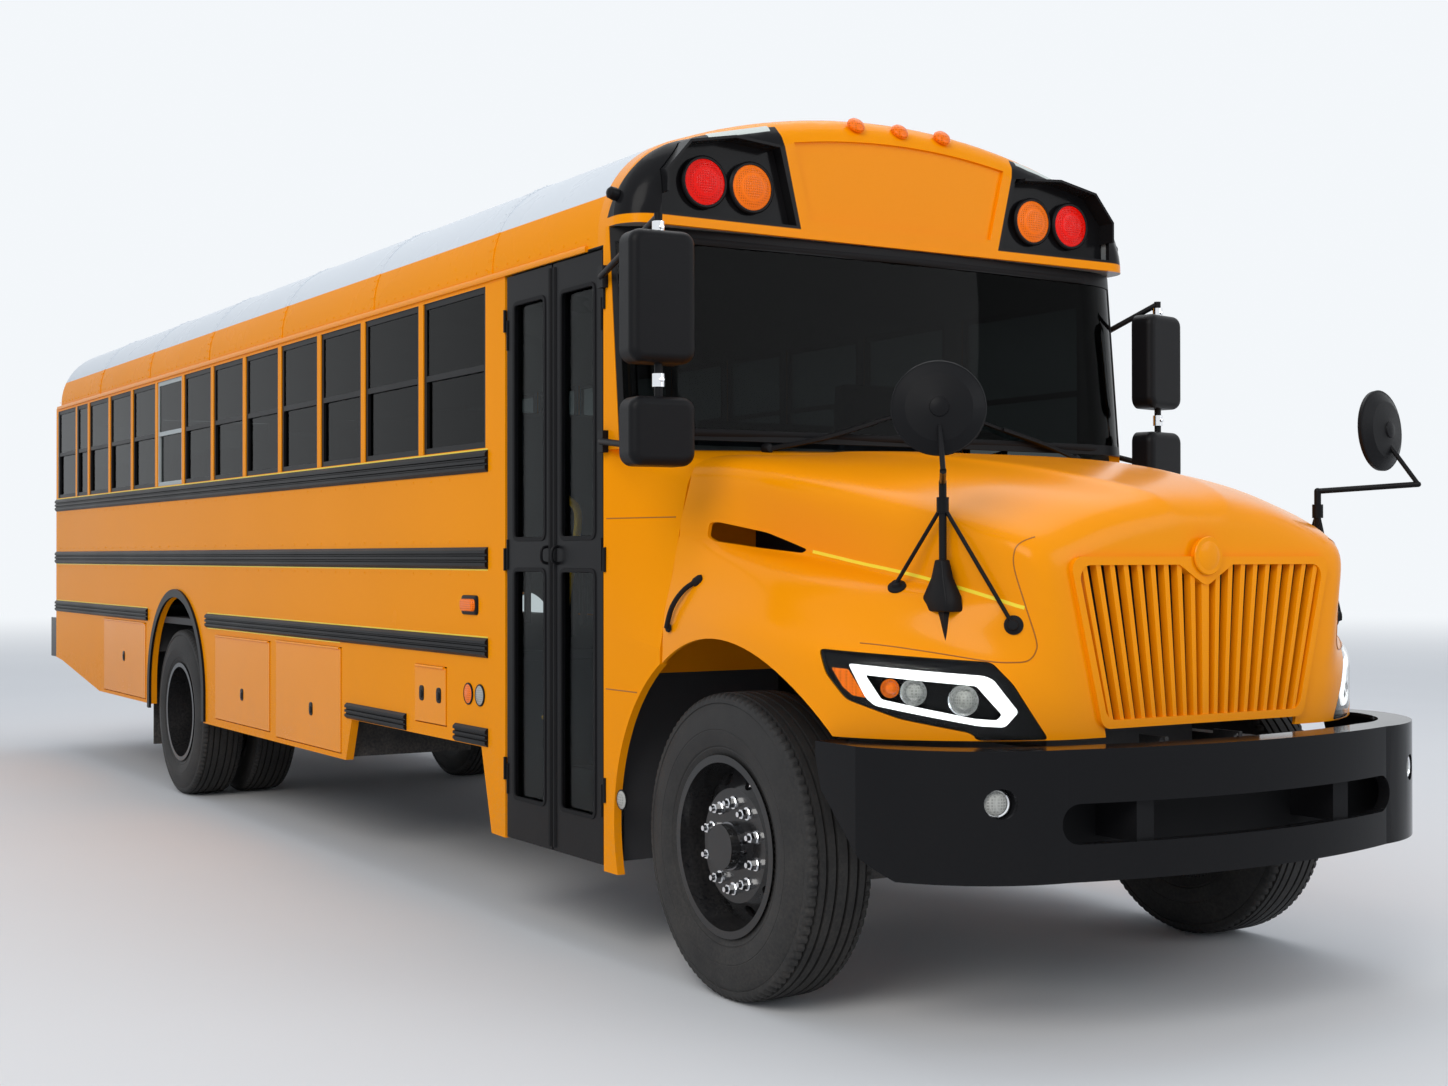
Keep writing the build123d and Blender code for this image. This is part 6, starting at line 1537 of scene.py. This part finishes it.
for number, (x, y, spans, angle) in enumerate(HEADS):
    parts = []
    turn = Matrix.Rotation(radians(angle), 4, "Z")
    for z0, z1 in spans:
        low, high = z0 + HEAD_EDGE, z1 - HEAD_EDGE
        loop = rounded([(-HEAD_HALF, low), (HEAD_HALF, low), (HEAD_HALF, high), (-HEAD_HALF, high)],
                       0.03, 5)
        n = len(loop)
        faces = [tuple(range(n)), tuple(range(n, 2 * n))[::-1]]
        faces += [(k, n + k, n + (k + 1) % n, (k + 1) % n) for k in range(n)]
        face = mesh_piece("face", [(a, u, v) for a in FACE_X for u, v in loop], faces, mirror_face)
        lip = swept("lip", [(-0.050, u, v) for u, v in loop],
                    [(-0.007, -0.002), (0.007, -0.002), (0.006, 0.004), (-0.006, 0.004)],
                    (-1, 0, 0), mirror_black, closed=True)
        for part in (outward(face), lip):
            part.data.transform(Matrix.Translation((x, y, 0)) @ turn)
            parts.append(part)
    fitted(joined(f"mirror_faces_{number}", parts), "chassis_and_body")
    clamps = []
    for z in (spans[0][1] + 0.01, (spans[0][0] + spans[1][1]) / 2):
        band = [(-0.022, 0.014), (-0.022, 0.021), (0.022, 0.021), (0.022, 0.014)]
        clamps.append(turned("clamp", band, (x, y, z), (0, 0, 1), 24, chrome))
        clamps.append(turned("bolt", [(0.0, 0.0), (0.0, 0.008), (0.010, 0.008), (0.012, 0.0)],
                             (x + 0.018, y, z), (1, 0, 0), 6, chrome))
    fitted(joined(f"mirror_clamps_{number}", clamps), "chassis_and_body")

for word, side in (("right", -1), ("left", 1)):
    parts = []
    post_top = Vector((POST_X, side * POST_Y, POST_TOP_Z))
    for fx, fy, fz in BRACE_FEET:
        spot, normal = on_skin((fx, -fy, fz))
        if side > 0:
            spot.y, normal.y = -spot.y, -normal.y
        start = spot + normal * 0.014
        parts.append(swept("brace", [start, start.lerp(post_top, 0.5), post_top],
                           round_section(0.0065, 12), (0, side, 0.2), satin_black))
        disc = [(0.0, 0.0), (0.0, 0.030), (0.006, 0.029), (0.010, 0.018), (0.020, 0.014),
                (0.022, 0.0)]
        parts.append(turned("brace_foot", disc, spot - normal * 0.001, normal, 28, seal_rubber))
    parts.append(turned("post_clamp", [(-0.024, 0.012), (-0.024, 0.019), (0.024, 0.019),
                                       (0.024, 0.012)], post_top, (0, 0, 1), 20, satin_black))
    spot, _ = on_skin((POST_X, -POST_Y, 1.340))
    corners = [(spot.x + u * a, side * (POST_Y + v * b), spot.z + level)
               for a, b, level in POST_FOOT for u, v in ((-1, -1), (1, -1), (1, 1), (-1, 1))]
    faces = [(r * 4 + k, r * 4 + (k + 1) % 4, r * 4 + 4 + (k + 1) % 4, r * 4 + 4 + k)
             for r in range(3) for k in range(4)]
    faces += [(12, 13, 14, 15), (3, 2, 1, 0)]
    wedge = mesh_piece("post_foot", corners, faces, satin_black)
    soft = wedge.modifiers.new("soft", "BEVEL")
    soft.width, soft.segments = 0.006, 3
    parts.append(smoothed(outward(settled(wedge))))
    back = Vector(CROSS_BACK[side]).normalized()
    middle = Vector((CROSS_MIDDLE[0], side * CROSS_MIDDLE[1], CROSS_MIDDLE[2]))
    ring = [(-0.003, 0.131), (-0.003, 0.141), (0.010, 0.1425), (0.014, 0.139), (0.012, 0.134)]
    parts.append(turned("mirror_rim", ring, middle, back, 64, mirror_black))
    hub = [(0.040, 0.0), (0.040, 0.030), (0.047, 0.028), (0.050, 0.015), (0.051, 0.0)]
    parts.append(turned("mirror_hub", hub, middle, back, 28, satin_black))
    fitted(joined(f"cross_mirror_fittings_{word}", parts), "hood")
    dish = [(-0.018, 0.0), (-0.0175, 0.030), (-0.015, 0.060), (-0.011, 0.090), (-0.006, 0.115),
            (-0.002, 0.132), (0.0005, 0.134)]
    fitted(turned(f"cross_mirror_face_{word}", dish, middle, back, 64, mirror_face), "hood")

# Cabin: a ribbed dark floor and benches with high backs, foam pads in dark blue-grey vinyl sewn
# with upright channels and welted edges, on steel stands. The dashboard is moulded black.
floor_cover = finish("floor_cover", (0.035, 0.035, 0.038), 0.7, grain=150, bump=0.3, film=0.0)
dash_plastic = finish("dash_plastic", (0.02, 0.02, 0.022), 0.55, grain=600, bump=0.3, film=0.0)
paint(floor_cover, "floor", "entrance_steps")
paint(dash_plastic, "dashboard", "steering_wheel")
VINYL = (0.014, 0.019, 0.030)
# the benches: the first one's front, rows and pitch, the middle and half of their width
SEAT_FRONT_X = 2.290
SEAT_ROWS = 11
SEAT_PITCH = 0.700
SEAT_MIDDLE_Y = 0.681
SEAT_HALF = 0.480
# the driver's seat: front and both sides
DRIVER_FRONT_X = 3.310
DRIVER_Y = (0.380, 0.860)
# how far the cushion, and the back's rear and front, lie behind the cushion's front edge
CUSHION_DEPTH = 0.380
BACK_X = (0.480, 0.385)
DRIVER_DEEPER = 0.085
CROWN = 0.16
CHANNEL_DIP = 0.007
CHANNEL_HALF = 0.010


def vinyl_colour(tree):
    """Dark blue-grey vinyl, paler in the worn patches."""
    spot = object_spot(tree)
    worn = put(tree, "ShaderNodeTexNoise", Vector=spot, Scale=5.0, Detail=5.0).outputs["Fac"]
    return blend(tree, worn, (*VINYL, 1), (*[c * 1.8 for c in VINYL], 1))


seat_vinyl = finish("seat_vinyl", vinyl_colour, 0.48, grain=700, bump=0.35, film=0.0, spread=0.2)


def pad(low, high, channels, soft_axis, around=12):
    """A crowned foam pad in a box, with round edges, a welt round it and sewn channels."""
    low, high = Vector(low), Vector(high)
    middle, half = (low + high) / 2, (high - low) / 2
    shaped = bmesh.new()
    bmesh.ops.create_cube(shaped, size=2.0)
    bmesh.ops.subdivide_edges(shaped, edges=shaped.edges, cuts=around - 1, use_grid_fill=True)
    flat = [axis for axis in range(3) if axis != soft_axis]
    power = [max(3.0, 3.2 * half[k] / half[soft_axis]) for k in range(3)]
    for vert in shaped.verts:
        p = vert.co.copy()
        length = sum(abs(p[k]) ** power[k] for k in range(3))
        lo, hi = 0.5, 1.0
        for _ in range(18):
            mid = (lo + hi) / 2
            if sum(abs(p[k] * mid) ** power[k] for k in range(3)) > 1:
                hi = mid
            else:
                lo = mid
        q = p * (lo if length > 1 else 1)
        q[soft_axis] *= 1 - CROWN * (q[flat[0]] ** 2 + q[flat[1]] ** 2) / 2
        place = Vector([middle[k] + q[k] * half[k] for k in range(3)])
        across = place[1] - middle[1]
        for k in range(1, channels):
            seam = (k / channels * 2 - 1) * half[1] * 0.94
            dip = CHANNEL_DIP * np.exp(-((across - seam) / CHANNEL_HALF) ** 2)
            if abs(q[soft_axis]) > 0.45:
                place[soft_axis] -= float(np.sign(q[soft_axis]) * dip)
        vert.co = place
    mesh = bpy.data.meshes.new("pad")
    shaped.to_mesh(mesh)
    shaped.free()
    mesh.materials.append(seat_vinyl)
    piece = bpy.data.objects.new("pad", mesh)
    bpy.context.scene.collection.objects.link(piece)
    loop = []
    for k in range(40):
        turn = 2 * pi * k / 40
        a = float(np.sign(cos(turn)) * abs(cos(turn)) ** 0.25) * half[flat[0]] * 0.985
        b = float(np.sign(sin(turn)) * abs(sin(turn)) ** 0.25) * half[flat[1]] * 0.985
        spot = middle.copy()
        spot[flat[0]] += a
        spot[flat[1]] += b
        loop.append(spot)
    up = Vector((0, 0, 0))
    up[soft_axis] = 1
    welt = swept("welt", loop, round_section(0.004, 5), up, seat_vinyl, closed=True, smooth=60)
    return [smoothed(piece, 50), welt]


cushion_pads, back_pads = [], []


def seat(front, sides, heights, channels, deeper=0.0):
    """A cushion and a back, whose heights are the underside, the cushion's top and the back's."""
    (y0, y1), (foot, top, head) = sides, heights
    cushion_pads.extend(pad((front - CUSHION_DEPTH - deeper, y0, foot), (front, y1, top), 1, 2))
    rear, face = (front - x - deeper for x in BACK_X)
    back_pads.extend(pad((rear, y0, foot), (face, y1, head), channels, 0))


for row in range(SEAT_ROWS):
    for side in (-1, 1):
        middle = side * SEAT_MIDDLE_Y
        seat(SEAT_FRONT_X - SEAT_PITCH * row, (middle - SEAT_HALF, middle + SEAT_HALF),
             (1.420, 1.530, 2.130), 6)
seat(DRIVER_FRONT_X, DRIVER_Y, (1.400, 1.510, 2.240), 4, DRIVER_DEEPER)
for name, pads, node in (("seat_cushion_pads", cushion_pads, "seat_cushions"),
                         ("seat_back_pads", back_pads, "seat_backs")):
    pads = fitted(joined(name, pads), "chassis_and_body")
    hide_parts(node)

# Rear end: a glazed emergency door hung on the right with a bar handle, rubber gaskets round the
# glass, and the black bumper below.
REAR_FACE_X = BODY_REAR_X - 0.0005
REAR_GASKET = [(-0.012, -0.003), (0.012, -0.003), (0.009, 0.006), (-0.009, 0.006)]
# half the width of each pane in the door and its height
REAR_PANES = [(0.36, 1.90, 2.50), (0.33, 1.25, 1.60)]
REAR_WINDOW_Y = (0.56, 1.06)
REAR_WINDOW_Z = (1.96, 2.50)


def rear_gasket(y0, y1, z0, z1, corner):
    """A rubber gasket round a pane in the rear wall."""
    loop = rounded([(y0, z0), (y1, z0), (y1, z1), (y0, z1)], corner, 4)
    return swept("rear_gasket", [(REAR_FACE_X, y, z) for y, z in loop], REAR_GASKET, (-1, 0, 0),
                 seal_rubber, closed=True)


paint(gloss_black, "rear_bumper")
parts = [rear_gasket(-half, half, z0, z1, 0.03) for half, z0, z1 in REAR_PANES]
handle = [(-5.400, 0.40, 1.72), (-5.428, 0.40, 1.74), (-5.428, 0.40, 1.84), (-5.400, 0.40, 1.86)]
parts.append(swept("rear_handle", smooth_line(handle, 5), round_section(0.008, 12), (0, 1, 0.01),
                   chrome))
fitted(joined("emergency_door_trim", parts), "emergency_door")
parts = [rear_gasket(*sorted(side * y for y in REAR_WINDOW_Y), *REAR_WINDOW_Z, 0.04)
         for side in (-1, 1)]
fitted(joined("rear_window_gaskets", parts), "chassis_and_body")

# Stop arm: an octagonal red blade with a white border and two red lamps on each face, left without
# words. It folds flat against the driver's side on a hinge box.
STOP_MIDDLE = (AXLE_FRONT_X - 2.285, 1.660)
STOP_ACROSS = 0.450
# the white border lies between these two distances from the blade's edge
STOP_BORDER = (0.026, 0.009)
# y of the blade's two faces and the side each looks to
STOP_FACES = ((1.283, 1), (1.269, -1))
STOP_LAMPS_DZ = (-0.150, 0.150)
STOP_LAMP = [(0.0, 0.0), (0.0, 0.034), (0.004, 0.034), (0.008, 0.024), (0.010, 0.0)]


def stop_colour(tree):
    """Red with a white band inside the octagon's edge."""
    x, _, z = axes(tree)
    u = sums(tree, "ABSOLUTE", sums(tree, "SUBTRACT", x, STOP_MIDDLE[0]))
    v = sums(tree, "ABSOLUTE", sums(tree, "SUBTRACT", z, STOP_MIDDLE[1]))
    slant = sums(tree, "MULTIPLY", sums(tree, "ADD", u, v), 0.7071)
    reach = sums(tree, "MAXIMUM", sums(tree, "MAXIMUM", u, v), slant)
    edge = between(tree, reach, *[STOP_ACROSS / 2 - inset for inset in STOP_BORDER])
    return laid_over(tree, (0.55, 0.006, 0.006, 1), edge, (0.80, 0.80, 0.80))


sign_red = finish("sign_red", stop_colour, 0.32, film=0.0, gleam=0.4)
paint(sign_red, "stop_arm")
lamps = []
for dz in STOP_LAMPS_DZ:
    for y, out in STOP_FACES:
        place = (STOP_MIDDLE[0], y, STOP_MIDDLE[1] + dz)
        lamps.append(turned("stop_lamp", STOP_LAMP, place, (0, out, 0), 32, red_lens))
fitted(joined("stop_arm_lamps", lamps), "stop_arm")
